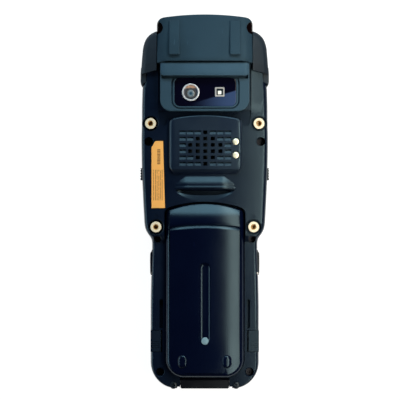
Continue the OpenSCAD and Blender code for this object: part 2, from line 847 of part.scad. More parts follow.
module bottom_lid() color("#1c1416") difference() {
    union() {
        box(-dock_half, dock_half, dock_low, -108.4, 3.5, rail_z);
        box(-dock_half, dock_half, dock_low, dock_pivot_y, dock_pivot_z + 0.1, rail_z);
        rod_x(-dock_half, dock_half, dock_pivot_y, dock_pivot_z, dock_knuckle_r);
        // plug that seals the connector opening
        box(-9.5, 9.5, -108.4 - eps, -107.4, 6, 11);
    }
    rod_x(-dock_half - 1, dock_half + 1, dock_pivot_y, dock_pivot_z, pin_r + pin_gap);
    // chamfered corners
    for (side = [-1, 1])
        translate([side * dock_half, dock_low, 0]) rotate([0, 0, 45]) cube([2.4, 2.4, 80], center = true);
}

module port_lid() {
    difference() {
        union() {
            box(port_lid_in, port_lid_out, port_pivot_y, port_high, port_low_z, port_high_z);
            post(port_pivot_x, port_pivot_y, knuckle_r, port_low_z, port_high_z);
        }
        post(port_pivot_x, port_pivot_y, pin_r + pin_gap, 0, 30);
        // finger notch at the free end
        post(port_lid_out + 0.4, port_high + 0.2, 1.1, 0, 40);
    }
}

module right_port_lid() color(rubber) port_lid();

module left_port_lid() color(rubber) mirror([1, 0, 0]) port_lid();

// ---- battery ----

// Cross-section of the pack: a low crown across X
function crown(lift) =
    let (r = 62, flat = 20.6)
    concat([[battery_half, pack_low_z], [battery_half, 24]], arc(battery_half - 3, 24.2, 3, 4, 52, 4),
           [for (i = [6:-1:-6]) let (x = flat * i / 6.6) [x, battery_z - lift - (r - sqrt(r * r - x * x))]],
           [for (p = [3.99:-1:-0.01]) let (a = 128 + 48 * (1 - (p + 0.01) / 4))
               [-battery_half + 3 + 3 * cos(a), 24.2 + 3 * sin(a)]],
           [[-battery_half, 24], [-battery_half, pack_low_z]]);

module crowned(y0, y1, lift) {
    translate([0, y1, 0]) rotate([90, 0, 0]) linear_extrude(y1 - y0) polygon(crown(lift));
}

module battery_case() color("#0d1418") difference() {
    intersection() {
        slab(battery_outline(0), pack_low_z, 40);
        union() {
            crowned(-110, battery_step, 0);
            intersection() {
                crowned(battery_step - 1, 0, 0);
                // lower top end, with a slope that meets the body's back face
                sweep_x([[battery_step - 1, 0], [battery_step - 1, 28.6], [battery_step + 0.4, 28.4],
                         [-12, 28.2], [-9, 29.2], [-8, 29], [-0.8, 26.6], [0, 26.4], [0, 0]], -40, 40);
            }
            // raised feet
            intersection() {
                crowned(-110, battery_step, -1);
                both_sides() translate([foot_x, (foot_low + foot_high) / 2, 0])
                    slab(rounded(5.3, foot_high - foot_low, 2.6), 20, 50);
            }
        }
    }
    // long groove down the middle
    battery_groove();
    // inside of the case
    box(-20.9, 20.9, -97, -15.5, pack_low_z + 1.4, 26.4);
    for (i = [0:terminal_count - 1])
        box(terminal_x(i) - 1.3, terminal_x(i) + 1.3, terminal_y - 3.4, terminal_y + 3.4,
            0, pack_low_z + 0.6);
    // hooks of the latches catch in these notches
    both_sides() box(22.2, 24, hook_low - 0.6, hook_high + 0.6, 15, hook_high_z + 0.6);
}

module battery_groove() {
    depth = 1.1;
    ends = [groove_low + groove_half, groove_top - groove_half];
    for (y = ends) post(0, y, groove_half, battery_z - depth, 60);
    box(-groove_half, groove_half, ends[0], ends[1], battery_z - depth, 60);
}

module battery_cells() color("#5c7f9c") {
    box(-20.4, -0.3, -96.4, -16.2, pack_low_z + 1.6, 26);
    box(0.3, 20.4, -96.4, -16.2, pack_low_z + 1.6, 26);
}

function terminal_x(i) = (i - (terminal_count - 1) / 2) * terminal_pitch;

module battery_contacts() color(gold) for (i = [0:terminal_count - 1])
    box(terminal_x(i) - 1.2, terminal_x(i) + 1.2, terminal_y - 3.2, terminal_y + 3.2,
        pack_low_z + 0.2, pack_low_z + 0.6);

module battery_terminals() color(gold) for (i = [0:terminal_count - 1]) {
    box(terminal_x(i) - 0.9, terminal_x(i) + 0.9, terminal_y - 2.5, terminal_y + 2.5, 12.4, 14.8);
    box(terminal_x(i) - 0.9, terminal_x(i) + 0.9, terminal_y - 1, terminal_y + 1, 14.8, 15.6);
}

module latch() {
    difference() {
        union() {
            box(latch_in, latch_out - 0.6, latch_low, latch_high, latch_low_z, rail_z);
            box(latch_out - 0.7, latch_out, latch_low + 0.8, latch_high - 0.8,
                latch_low_z + 0.8, rail_z - 0.8);
            box(24.4, latch_in + eps, hook_low, hook_high, hook_low_z, hook_high_z);
            box(latch_in, latch_in + 0.8, latch_low - 0.8, latch_high + 0.8, latch_low_z, flange_top_z);
        }
        rod_x(latch_in - 1, latch_in + 3, spring_y, spring_z, 1.8);
        // thumb ridges
        for (y = [latch_low + 2.4:2.2:latch_high - 2])
            box(latch_out - 0.3, latch_out + 1, y, y + 0.8, 10, 30);
        translate([latch_out, 0, rail_z]) rotate([0, 45, 0]) cube([1.6, 300, 1.6], center = true);
    }
}

module right_latch() color("#23282c") latch();

module left_latch() color("#23282c") mirror([1, 0, 0]) latch();

module latch_spring() {
    start = latch_in - latch_room + 0.05;
    translate([start, spring_y, spring_z]) coil_x(latch_in + 2.95 - start, 1.35, 0.25, 5);
}

module right_latch_spring() color(metal) latch_spring();

module left_latch_spring() color(metal) mirror([1, 0, 0]) latch_spring();

module side_key() {
    outer = body_half + side_key_proud;
    difference() {
        union() {
            box(34, outer, side_key_low, side_key_high, side_key_z - 3, side_key_z + 3);
            box(33.2, 34.2, side_key_low - 0.9, side_key_high + 0.9, side_key_z - 3.9, side_key_z + 3.9);
        }
        for (y = [side_key_low + 1.4:1.7:side_key_high - 2]) box(outer - 0.3, outer + 1, y, y + 0.8, 10, 30);
    }
}

module right_side_key() color("#23282c") side_key();

module left_side_key() color("#23282c") mirror([1, 0, 0]) side_key();

module side_switches() color(metal) both_sides() {
    box(switch_in, 31.5 + eps, switch_low, switch_high, 15, switch_top_z);
    box(31.5, 32.3, side_key_low + 2.2, side_key_high - 2.2, side_key_z - 1.4, side_key_z + 1.4);
}

front_housing();
back_housing();
housing_seal();
head_bumper();
head_cover();
camera_visor();
camera_frame();
camera_window();
camera_lens_ring();
camera_lens();
camera_module();
flash_frame();
flash_led();
speaker_grille();
speaker();
grip_inserts();
case_screws();
grip_contacts();
label_plate();
battery_terminals();
display_window();
display_panel();
main_board();
keypad_membrane();
key_domes();
scan_window();
scan_engine();
dock_connector();
usb_socket();
headset_jack();
lid_pins();
end_studs();
side_switches();
bottom_lid();
left_port_lid();
right_port_lid();
battery_case();
battery_cells();
battery_contacts();
left_latch();
right_latch();
left_latch_spring();
right_latch_spring();
left_side_key();
right_side_key();
scan_key();
power_key();
nav_key();
for (i = [0:11]) pad_key(i);
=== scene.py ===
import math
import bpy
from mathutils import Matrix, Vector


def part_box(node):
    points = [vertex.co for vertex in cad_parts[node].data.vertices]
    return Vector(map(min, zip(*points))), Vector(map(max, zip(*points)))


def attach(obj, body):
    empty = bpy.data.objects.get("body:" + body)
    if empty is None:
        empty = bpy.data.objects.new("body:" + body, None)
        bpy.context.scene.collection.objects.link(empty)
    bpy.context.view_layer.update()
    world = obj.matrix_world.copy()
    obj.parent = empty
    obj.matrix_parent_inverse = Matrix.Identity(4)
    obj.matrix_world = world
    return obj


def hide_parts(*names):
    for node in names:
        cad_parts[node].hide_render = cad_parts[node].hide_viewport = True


bl_info = {
    "name": "Hand-held Data Terminal",
    "version": (1, 0, 0),
    "blender": (4, 5, 0),
    "location": "View3D > Sidebar > Terminal",
    "description": "Dresses the packed frame of a rugged hand-held data terminal",
    "category": "Object",
}

import bmesh
import bpy
from bpy.props import FloatProperty, FloatVectorProperty, PointerProperty
from mathutils import Vector

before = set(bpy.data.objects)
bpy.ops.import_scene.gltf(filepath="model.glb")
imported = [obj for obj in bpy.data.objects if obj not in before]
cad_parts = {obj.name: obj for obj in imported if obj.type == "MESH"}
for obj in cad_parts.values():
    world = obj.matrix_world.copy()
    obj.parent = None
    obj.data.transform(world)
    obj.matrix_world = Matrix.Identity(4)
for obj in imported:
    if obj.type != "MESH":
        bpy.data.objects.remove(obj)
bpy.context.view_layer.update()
MM = 0.001
SMOOTH_ANGLE = math.radians(32)
BEVEL_ANGLE = math.radians(40)
SIDES = ((1, "right"), (-1, "left"))
PAD_KEYS = ("1", "2", "3", "4", "5", "6", "7", "8", "9", "clear", "0", "enter")


def cad(node):
    """A CAD node's lowest and highest corners, in millimetres."""
    low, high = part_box(node)
    return low / MM, high / MM


# ---------------------------------------------------------------- properties


def colour(name, description, default):
    return FloatVectorProperty(name=name, description=description, subtype="COLOR", size=3,
                               min=0.0, max=1.0, default=default)


def length(name, description, default, low=0.0, high=300.0):
    """A size in millimetres."""
    return FloatProperty(name=name, description=description, default=default, min=low, max=high)


def metres(name, description, default):
    return FloatProperty(name=name, description=description, default=default, subtype="DISTANCE",
                         unit="LENGTH")


def watts(name, description, default):
    return FloatProperty(name=name, description=description, default=default, subtype="POWER")


class TerminalSizes(bpy.types.PropertyGroup):
    back_fillet: length("Back fillet", "Rounding of the back housing's edge, in mm", 2.6, 0.5, 4)
    rail_fillet: length("Rail fillet", "Rounding of the rails beside the battery, in mm", 1.9, 0.5, 3)
    front_fillet: length("Front fillet", "Rounding of the front bezel, in mm", 3.4, 0.5, 4)
    back_crown: length("Back crown", "How far the back falls towards its sides, in mm", 1.0, 0, 1.5)
    edge_break: length("Edge break", "Small rounding on moulded edges, in mm", 0.35, 0.1, 0.8)


class TerminalColours(bpy.types.PropertyGroup):
    shell: colour("Shell", "Moulded housings", (0.0011, 0.0034, 0.0135))
    head: colour("Head", "Cover, visor and camera frame", (0.0165, 0.0345, 0.053))
    rubber: colour("Rubber", "Bumper, seal and studs", (0.0045, 0.0085, 0.0165))
    lid: colour("Lids", "Hinged lids", (0.0010, 0.0014, 0.0055))
    battery: colour("Battery", "Battery case", (0.0008, 0.0022, 0.0120))
    label: colour("Label", "Orange label plate", (0.96, 0.45, 0.115))
    brass: colour("Brass", "Tapped inserts", (0.93, 0.80, 0.60))
    gold: colour("Gold", "Plated terminals", (0.98, 0.77, 0.36))
    contact: colour("Contacts", "Flat faces of the grip contacts", (1.0, 0.95, 0.74))
    keys: colour("Keys", "Pad and side keys", (0.045, 0.050, 0.056))
    scan_key: colour("Scan key", "Scan key", (0.72, 0.20, 0.03))


class TerminalStage(bpy.types.PropertyGroup):
    distance: metres("Distance", "Camera distance", 1.0)
    view_width: metres("View width", "Width of the picture at the middle of the part", 0.2367)
    aim_x: metres("Aim X", "Middle of the picture across the part", -0.0028)
    aim_y: metres("Aim Y", "Middle of the picture along the part", 0.0013)
    head_light: watts("Head light", "Power of the soft box beyond the head", 8.9)
    side_light: watts("Side light", "Power of the soft strip on the right", 0.27)
    fill_light: watts("Fill light", "Power of the narrow light on the left", 0.75)
    world: FloatProperty(name="World", description="Strength of the surroundings", default=0.015)


# ---------------------------------------------------------------- shader maths


class Wire:
    """A socket in a material's node tree. Arithmetic on it adds Math nodes."""

    def __init__(self, graph, socket):
        self.graph = graph
        self.socket = socket

    def _math(self, operation, a, b=None):
        values = {0: a} if b is None else {0: a, 1: b}
        return self.graph.node("ShaderNodeMath", {"operation": operation}, values)

    def __add__(self, other):
        return self._math("ADD", self, other)

    __radd__ = __add__

    def __sub__(self, other):
        return self._math("SUBTRACT", self, other)

    def __rsub__(self, other):
        return self._math("SUBTRACT", other, self)

    def __mul__(self, other):
        return self._math("MULTIPLY", self, other)

    __rmul__ = __mul__

    def __truediv__(self, other):
        return self._math("DIVIDE", self, other)

    def __pow__(self, other):
        return self._math("POWER", self, other)

    def __abs__(self):
        return self._math("ABSOLUTE", self)

    def waves(self, pitch):
        """Swings between -1 and 1, once over each pitch."""
        return self._math("SINE", self * (2.0 * math.pi / pitch))

    def clamp(self):
        settings = {"operation": "MULTIPLY", "use_clamp": True}
        return self.graph.node("ShaderNodeMath", settings, {0: self, 1: 1.0})


class Graph:
    """The node tree of a material or of the world."""

    def __init__(self, name, kind="Material"):
        owners = bpy.data.worlds if kind == "World" else bpy.data.materials
        self.owner = owners.new(name)
        self.owner.use_nodes = True
        self.tree = self.owner.node_tree
        self.tree.nodes.clear()
        self.output = self.tree.nodes.new("ShaderNodeOutput" + kind)

    def node(self, kind, settings=None, values=None, out=0):
        """Adds a node. Settings are set first; values go to sockets by name or index."""
        made = self.tree.nodes.new(kind)
        for key, value in (settings or {}).items():
            if key == "stops":
                ramp = made.color_ramp
                while len(ramp.elements) < len(value):
                    ramp.elements.new(0.5)
                for element, (place, shade) in zip(ramp.elements, value):
                    element.position = place
                    element.color = (*shade, 1.0) if len(shade) == 3 else shade
            else:
                setattr(made, key, value)
        for key, value in (values or {}).items():
            socket = made.inputs[key]
            if isinstance(value, Wire):
                self.tree.links.new(value.socket, socket)
            elif socket.type == "RGBA" and len(value) == 3:
                socket.default_value = (*value, 1.0)
            else:
                socket.default_value = value
        return Wire(self, made.outputs[out])

    def place(self):
        return self.node("ShaderNodeTexCoord", out="Object")

    def axes(self, vector):
        """The three parts of a vector."""
        first = self.node("ShaderNodeSeparateXYZ", None, {0: vector})
        parts = first.socket.node.outputs
        return [Wire(self, parts[i]) for i in range(3)]

    def stretch(self, vector, scale):
        return self.node("ShaderNodeVectorMath", {"operation": "MULTIPLY"}, {0: vector, 1: scale})

    def noise(self, vector, scale, detail=2.0, roughness=0.5):
        return self.node("ShaderNodeTexNoise", None,
                         {"Vector": vector, "Scale": scale, "Detail": detail, "Roughness": roughness})

    def cells(self, vector, scale, feature="F1"):
        return self.node("ShaderNodeTexVoronoi", {"feature": feature}, {"Vector": vector, "Scale": scale})

    def band(self, value, low, high):
        """0 below low, 1 above high."""
        return self.node("ShaderNodeMapRange", {"interpolation_type": "SMOOTHSTEP"},
                         {"Value": value, "From Min": low, "From Max": high})

    def strip(self, value, low, high, soft):
        """1 between low and high, with edges that are soft over a given width."""
        return self.band(value, low, low + soft) * (1.0 - self.band(value, high, high + soft))

    def blend(self, factor, first, second):
        """A mix of two colours."""
        return self.node("ShaderNodeMix", {"data_type": "RGBA"}, {0: factor, 6: first, 7: second}, out=2)

    def bump(self, height, distance, strength=1.0, normal=None):
        values = {"Height": height, "Distance": distance, "Strength": strength}
        if normal is not None:
            values["Normal"] = normal
        return self.node("ShaderNodeBump", None, values)

    def show(self, shader):
        """Links a shader to the output and returns the material or world."""
        self.tree.links.new(shader.socket, self.output.inputs["Surface"])
        return self.owner

    def surface(self, **sockets):
        values = {key.replace("_", " "): value for key, value in sockets.items()}
        return self.show(self.node("ShaderNodeBsdfPrincipled", None, values))


def tone(base, factor):
    return tuple(min(1.0, c * factor) for c in base)


def apart(x, y, centre):
    """Distance of a place from a centre, across Z."""
    return ((x - centre[0]) ** 2.0 + (y - centre[1]) ** 2.0) ** 0.5


def in_metres(place):
    return tuple(c * MM for c in place)


def moulded(name, base, rough=0.38, grain=0.000018, wear=0.35, shine=0.5):
    """Spark-textured moulded plastic: fine grain, slow mottling, rubbed patches and hairline scratches."""
    g = Graph(name)
    at = g.place()
    spark = g.cells(at, 2300.0)
    fine = g.noise(at, 5200.0, 2.0)
    slow = g.noise(at, 38.0, 4.0, 0.62)
    rubbed = g.band(g.noise(g.stretch(at, (1.0, 0.6, 1.0)), 22.0, 3.0), 0.52, 0.72)
    scratch_at = g.stretch(at, (900.0, 26.0, 300.0))
    scratches = g.band(g.noise(scratch_at, 1.0, 1.0), 0.745, 0.765) * g.band(g.noise(at, 60.0, 2.0), 0.5, 0.6)
    body = g.blend(slow, tone(base, 0.80), tone(base, 1.25))
    body = g.blend(rubbed * wear, body, tone(base, 1.7))
    body = g.blend(scratches * 0.35, body, tone(base, 3.2))
    roughness = rough + (slow - 0.5) * 0.16 + (spark - 0.4) * (grain * 5000.0) - rubbed * 0.09
    height = spark * 0.6 + fine * 0.4
    normal = g.bump(height, grain, 0.55)
    return g.surface(Base_Color=body, Roughness=roughness, Normal=normal, Specular_IOR_Level=shine,
                     Specular_Tint=(0.55, 0.85, 1.0))


def rubbery(name, base, rough=0.62, dust=0.3):
    """Soft moulded rubber: close pitting, with pale dust that gathers in broad patches."""
    g = Graph(name)
    at = g.place()
    pits = g.noise(at, 2600.0, 3.0, 0.6)
    slow = g.noise(at, 55.0, 4.0, 0.6)
    dusty = g.band(g.noise(at, 120.0, 5.0, 0.7), 0.5, 0.8)
    body = g.blend(slow, tone(base, 0.75), tone(base, 1.35))
    body = g.blend(dusty * dust, body, tuple(c * 1.4 + 0.005 for c in base))
    roughness = rough + (slow - 0.5) * 0.15 + dusty * 0.10
    return g.surface(Base_Color=body, Roughness=roughness, Normal=g.bump(pits, 0.00003, 0.5),
                     Specular_IOR_Level=0.42, Specular_Tint=(0.75, 0.90, 1.0))


def polished(name, base, rough=0.05, smudge=0.10, coat=1.0):
    """Black glass or polished plastic, with faint finger smudges."""
    g = Graph(name)
    at = g.place()
    smears = g.band(g.noise(g.stretch(at, (1.0, 1.8, 1.0)), 70.0, 5.0, 0.6), 0.45, 0.75)
    specks = g.band(g.cells(at, 900.0), 0.04, 0.02)
    body = g.blend(specks * 0.4, g.blend(smears, base, tone(base, 1.4)), tone(base, 5.0))
    return g.surface(Base_Color=body, Roughness=rough + smears * smudge + specks * 0.2, Coat_Weight=coat,
                     Coat_Roughness=0.03, Specular_IOR_Level=0.6)


def machined(name, base, rough=0.24, ring=0.0, centre=(0.0, 0.0), metal=1.0):
    """Metal with fine tool marks; ring sets the pitch of turned rings about a centre."""
    g = Graph(name)
    at = g.place()
    slow = g.noise(at, 180.0, 4.0, 0.6)
    marks = g.noise(g.stretch(at, (2600.0, 2600.0, 700.0)), 1.0, 2.0)
    height = marks
    if ring:
        x, y, _ = g.axes(at)
        height = marks * 0.3 + apart(x, y, centre).waves(ring) * 0.5
    body = g.blend(slow, tone(base, 0.82), tone(base, 1.08))
    stain = g.band(g.noise(at, 420.0, 4.0, 0.7), 0.55, 0.8)
    body = g.blend(stain * 0.35, body, tone(base, 0.55))
    return g.surface(Base_Color=body, Metallic=metal, Roughness=rough + slow * 0.14 + stain * 0.12,
                     Normal=g.bump(height, 0.00002, 0.4))


def printed_label(name, base):
    """Orange film with plain dark rules and a block of even bars; it carries no lettering."""
    g = Graph(name)
    at = g.place()
    x, y, _ = g.axes(at)
    low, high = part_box("label_plate")
    soft = 0.0002
    grain = g.noise(at, 3000.0, 3.0)
    fade = g.noise(at, 90.0, 4.0, 0.6)
    film = g.blend(fade, tone(base, 0.88), tone(base, 1.06))
    # plain rules along the lower part, and a block of even bars above them
    lower = g.strip(y, low.y + 0.0045, low.y + 0.0225, soft)
    rules = 0.0
    for share in (0.16, 0.30, 0.42, 0.55, 0.67, 0.79):
        off = abs(x - (low.x + (high.x - low.x) * share))
        rules = rules + (1.0 - g.band(off, 0.00016, 0.00026)) * lower
    block = g.strip(x, low.x + 0.0033, low.x + 0.0052, soft)
    block = block * g.strip(y, high.y - 0.0140, high.y - 0.0048, soft)
    bars = g.band(y.waves(0.0009), -0.5, 0.1)
    rules = rules * 0.8 + block * (bars * 0.7 + 0.3)
    worn = g.band(g.noise(at, 700.0, 4.0, 0.7), 0.34, 0.5)
    body = g.blend((rules * worn * 0.85).clamp(), film, (0.10, 0.035, 0.012))
    return g.surface(Base_Color=body, Roughness=0.36 + fade * 0.16, Normal=g.bump(grain, 0.00001, 0.4),
                     Coat_Weight=0.25, Coat_Roughness=0.2)


def circuit(name, base):
    """Solder mask with tracks under it."""
    g = Graph(name)
    at = g.place()
    tracks = g.band(g.cells(g.stretch(at, (420.0, 300.0, 10.0)), 1.0, "DISTANCE_TO_EDGE"), 0.05, 0.08)
    body = g.blend(tracks, tone(base, 1.8), base)
    body = g.blend(g.noise(at, 200.0, 3.0), body, tone(base, 0.8))
    return g.surface(Base_Color=body, Roughness=0.35 + tracks * 0.1, Normal=g.bump(tracks, 0.00002, 0.3))


# ---------------------------------------------------------------- outlines


def quarter(steps):
    """Even angles from nothing to a right angle."""
    return [math.pi / 2 * i / steps for i in range(steps + 1)]


def full_turn(sides):
    """Even angles round a circle."""
    return [2 * math.pi * i / sides for i in range(sides)]


def arc(cx, cy, radius, start, end, count):
    """Points on an arc, with its angles in degrees."""
    angles = [math.radians(start + (end - start) * i / count) for i in range(count + 1)]
    return [(cx + radius * math.cos(a), cy + radius * math.sin(a)) for a in angles]


def mirrored(right, top=()):
    """A whole outline from its right half, drawn from bottom to top."""
    return list(right) + list(top) + [(-x, y) for x, y in reversed(right)]


def rounded(width, height, radius, cx=0.0, cy=0.0, count=6):
    w, h = width / 2 - radius, height / 2 - radius
    corners = ((w, h, 0), (-w, h, 90), (-w, -h, 180), (w, -h, 270))
    points = []
    for x, y, angle in corners:
        for point in arc(cx + x, cy + y, radius, angle, angle + 90, count):
            # two arcs meet in one point where an end is fully round
            if not points or math.dist(point, points[-1]) > 1e-6:
                points.append(point)
    return points


def domed_end(half, top, dome, corner):
    """Right corner and crown of an end that is domed across, with round corners."""
    across = half - corner
    up = math.sqrt((dome - corner) ** 2 - across ** 2)
    turn = math.degrees(math.atan2(up, across))
    crown = arc(0, top - dome, dome, turn + 1, 179 - turn, 12)
    return arc(across, top - dome + up, corner, 0, turn, 7), crown


def circle(radius, cx=0.0, cy=0.0, count=48):
    return arc(cx, cy, radius, 0, 360 - 360 / count, count - 1)


def inset(outline, distance):
    """The outline drawn in by a distance, each corner moved along its mitre."""
    points = [Vector(p) for p in outline]
    moved = []
    for i, here in enumerate(points):
        before = (here - points[i - 1]).normalized()
        after = (points[(i + 1) % len(points)] - here).normalized()
        left = Vector((-before.y - after.y, before.x + after.x))
        if left.length < 1e-6:
            left = Vector((-before.y, before.x))
        left.normalize()
        cosine = max(0.5, left.dot(Vector((-before.y, before.x))))
        moved.append(tuple(here + left * (distance / cosine)))
    return moved


def round_edge(high, radius, steps=4, drawn_in=0.0):
    """Levels of an edge that is rounded up to a face."""
    return [(drawn_in + radius * (1 - math.cos(a)), high - radius * (1 - math.sin(a))) for a in quarter(steps)]


# ---------------------------------------------------------------- meshes


def new_object(name, bm):
    """A scene object from a bmesh drawn in millimetres."""
    bmesh.ops.remove_doubles(bm, verts=bm.verts, dist=1e-5)
    bmesh.ops.recalc_face_normals(bm, faces=bm.faces)
    bmesh.ops.scale(bm, vec=(MM, MM, MM), verts=bm.verts)
    mesh = bpy.data.meshes.new(name)
    bm.to_mesh(mesh)
    bm.free()
    made = bpy.data.objects.new(name, mesh)
    bpy.context.scene.collection.objects.link(made)
    return made


def add_rings(bm, rings):
    """Skins a list of closed rings of equal length, and closes its ends."""
    rows = [[bm.verts.new(p) for p in ring] for ring in rings]
    count = len(rows[0])
    for low, high in zip(rows, rows[1:]):
        for i in range(count):
            bm.faces.new((low[i], low[(i + 1) % count], high[(i + 1) % count], high[i]))
    bm.faces.new(list(reversed(rows[0])))
    bm.faces.new(rows[-1])


def add_slab(bm, outline, levels, lift=None, step=3.0):
    """A slab drawn in by levels; lift bends it, by adding a function of each point's place to its depth."""
    rings = [[(x, y, depth) for x, y in (inset(outline, drawn_in) if drawn_in else outline)]
             for drawn_in, depth in levels]
    if not lift:
        add_rings(bm, rings)
        return
    flat = bmesh.new()
    add_rings(flat, rings)
    for axis in (Vector((1, 0, 0)), Vector((0, 1, 0))):
        places = [axis.xy.dot(point) for point in outline]
        count = int((max(places) - min(places)) / step) + 1
        for i in range(1, count):
            across = axis * (min(places) + (max(places) - min(places)) * i / count)
            everything = flat.verts[:] + flat.edges[:] + flat.faces[:]
            bmesh.ops.bisect_plane(flat, geom=everything, plane_co=across, plane_no=axis)
    for vertex in flat.verts:
        vertex.co.z += lift(*vertex.co)
    bent = bpy.data.meshes.new("bent")
    flat.to_mesh(bent)
    flat.free()
    bm.from_mesh(bent)
    bpy.data.meshes.remove(bent)


def solid(name, draw, *values):
    """A scene object from what a function draws into a bmesh."""
    bm = bmesh.new()
    draw(bm, *values)
    return new_object(name, bm)


def slab(name, outline, levels, lift=None, step=3.0):
    return solid(name, add_slab, outline, levels, lift, step)


def add_turned(bm, profile, cx=0.0, cy=0.0, sides=64):
    """Turns a profile of radius and depth about Z; the profile closes on itself or on the axis."""
    rings = []
    for radius, depth in profile:
        if radius == 0:
            rings.append([bm.verts.new((cx, cy, depth))])
        else:
            rings.append([bm.verts.new((cx + radius * math.cos(a), cy + radius * math.sin(a), depth))
                          for a in full_turn(sides)])
    for low, high in zip(rings, rings[1:] + rings[:1]):
        for i in range(sides):
            j = (i + 1) % sides
            if len(low) > 1 and len(high) > 1:
                bm.faces.new((low[i], low[j], high[j], high[i]))
            elif len(low) > 1:
                bm.faces.new((low[i], low[j], high[0]))
            elif len(high) > 1:
                bm.faces.new((low[0], high[j], high[i]))


def turned(name, profile, places=((0.0, 0.0),), sides=64):
    bm = bmesh.new()
    for cx, cy in places:
        add_turned(bm, profile, cx, cy, sides)
    return new_object(name, bm)


def boxes(name, *sizes):
    """Boxes that touch or overlap, joined into one solid."""
    joined = solid(name, add_box, *sizes[0])
    for size in sizes[1:]:
        join(joined, add_box, *size)
    return joined


def beside(side, x0, x1, *others):
    """The limits of a box drawn for the right side, on either side of the body."""
    return (*sorted((side * x0, side * x1)), *others)


def add_profile(bm, profile, x0, x1):
    """A profile in Y and Z, swept along X."""
    add_rings(bm, [[(x, y, z) for y, z in profile] for x in (x0, x1)])


def both_sides(made):
    """Adds the mirror image of a piece on the other side of the body, as a second solid."""
    bm = bmesh.new()
    bm.from_mesh(made.data)
    copied = bmesh.ops.duplicate(bm, geom=bm.verts[:] + bm.edges[:] + bm.faces[:])["geom"]
    for vertex in copied:
        if isinstance(vertex, bmesh.types.BMVert):
            vertex.co.x = -vertex.co.x
    bmesh.ops.reverse_faces(bm, faces=[face for face in copied if isinstance(face, bmesh.types.BMFace)])
    bm.to_mesh(made.data)
    bm.free()
    return made


def add_box(bm, x0, x1, y0, y1, z0, z1):
    add_rings(bm, [[(x0, y0, z), (x1, y0, z), (x1, y1, z), (x0, y1, z)] for z in (z0, z1)])


def add_rod(bm, start, end, radius, sides=32, mouth=0.0):
    """A cylinder between two points; mouth flares its far end."""
    start, end = Vector(start), Vector(end)
    along = (end - start).normalized()
    across = along.orthogonal().normalized()
    over = along.cross(across)
    stations = [(start, radius), (end, radius)]
    if mouth:
        wide = radius + mouth
        stations = [(start, radius), (end - along * mouth, radius), (end, wide), (end + along, wide)]
    rings = []
    for point, r in stations:
        rings.append([tuple(point + (across * math.cos(a) + over * math.sin(a)) * r)
                      for a in full_turn(sides)])
    add_rings(bm, rings)


def modifier(made, kind, **settings):
    added = made.modifiers.new(kind.lower(), kind)
    for key, value in settings.items():
        setattr(added, key, value)
    return added


def settle(made):
    """Turns an object's modifiers into plain mesh."""
    bpy.context.view_layer.update()
    shaped = made.evaluated_get(bpy.context.evaluated_depsgraph_get())
    mesh = bpy.data.meshes.new_from_object(shaped)
    made.modifiers.clear()
    made.data = mesh
    return made


def combine(made, other, operation):
    """An exact boolean with another object, which is used up."""
    modifier(made, "BOOLEAN", operation=operation, object=other, solver="EXACT")
    settle(made)
    bpy.data.objects.remove(other)
    return made


def cut(made, draw, *values):
    """Cuts away what a function draws into a bmesh. Its solids stay clear of one another."""
    return combine(made, solid("cutter", draw, *values), "DIFFERENCE")


def join(made, draw, *values):
    """Adds what a function draws into a bmesh."""
    return combine(made, solid("addition", draw, *values), "UNION")


def tidied(made):
    """Joins flat faces and drops loose edges and points, so that a bevel meets none of them."""
    bm = bmesh.new()
    bm.from_mesh(made.data)
    bmesh.ops.dissolve_degenerate(bm, edges=bm.edges, dist=0.004 * MM)
    bmesh.ops.dissolve_limit(bm, angle_limit=math.radians(0.3), verts=bm.verts, edges=bm.edges)
    bmesh.ops.delete(bm, geom=[edge for edge in bm.edges if not edge.link_faces], context="EDGES")
    bmesh.ops.delete(bm, geom=[vertex for vertex in bm.verts if not vertex.link_faces], context="VERTS")
    bm.to_mesh(made.data)
    bm.free()
    return made


def polish(made, material, bevel=0.0, angle=SMOOTH_ANGLE):
    """Rounds the sharp edges a little, smooths the shading and gives the material."""
    if bevel:
        tidied(made)
        modifier(made, "BEVEL", width=bevel * MM, segments=2, limit_method="ANGLE", angle_limit=BEVEL_ANGLE)
        settle(made)
    mesh = made.data
    mesh.polygons.foreach_set("use_smooth", [True] * len(mesh.polygons))
    mesh.set_sharp_from_angle(angle=angle)
    modifier(made, "WEIGHTED_NORMAL", keep_sharp=True, weight=60)
    mesh.materials.clear()
    mesh.materials.append(material)
    return made


def fit(made, body, slot, *nodes):
    """Hangs a piece on its body and lets it stand for its CAD nodes."""
    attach(made, body)
    if nodes:
        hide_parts(*nodes)
    return made


def finish_node(node, material):
    """Gives a CAD node a finish; its mesh stays as it is."""
    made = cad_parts[node]
    made.data.materials.clear()
    made.data.materials.append(material)
    for slot in made.material_slots:
        slot.material = material
    return made


# ---------------------------------------------------------------- body shape

SPLIT_Z = cad("housing_seal")[0].z
BACK_LOW_Z = cad("back_housing")[0].z
BACK_Z = 27.0
RAIL_Z = 22.5
END_R = 15.0
END_Y = -110.0
HANDLE_HALF = 32.2
NOSE_HALF = 28.2
NOSE_ARC_R = 174.5
NOSE_CORNER = 4.6
TOP_Y = 110.3

# Half width of the body along Y, above the corner of the bottom end
SIDE_LINE = ((-95, 32.2), (-60, 32.2), (-44, 31.9), (-27, 31.3), (-23.6, 31.3), (-21.2, 31.9), (-18.9, 33.7),
             (-16.5, 35.1), (-14.1, 35.7), (-12, 35.95), (0, 36.6), (12, 37.15), (21, 37.45), (30, 37.6),
             (39, 37.65), (47, 37.4), (56, 37.4), (67, 37.1), (70, 36.6), (73, 35.2), (86, 34.5), (91, 33.4),
             (95.4, 31.4), (98.2, 28.4))


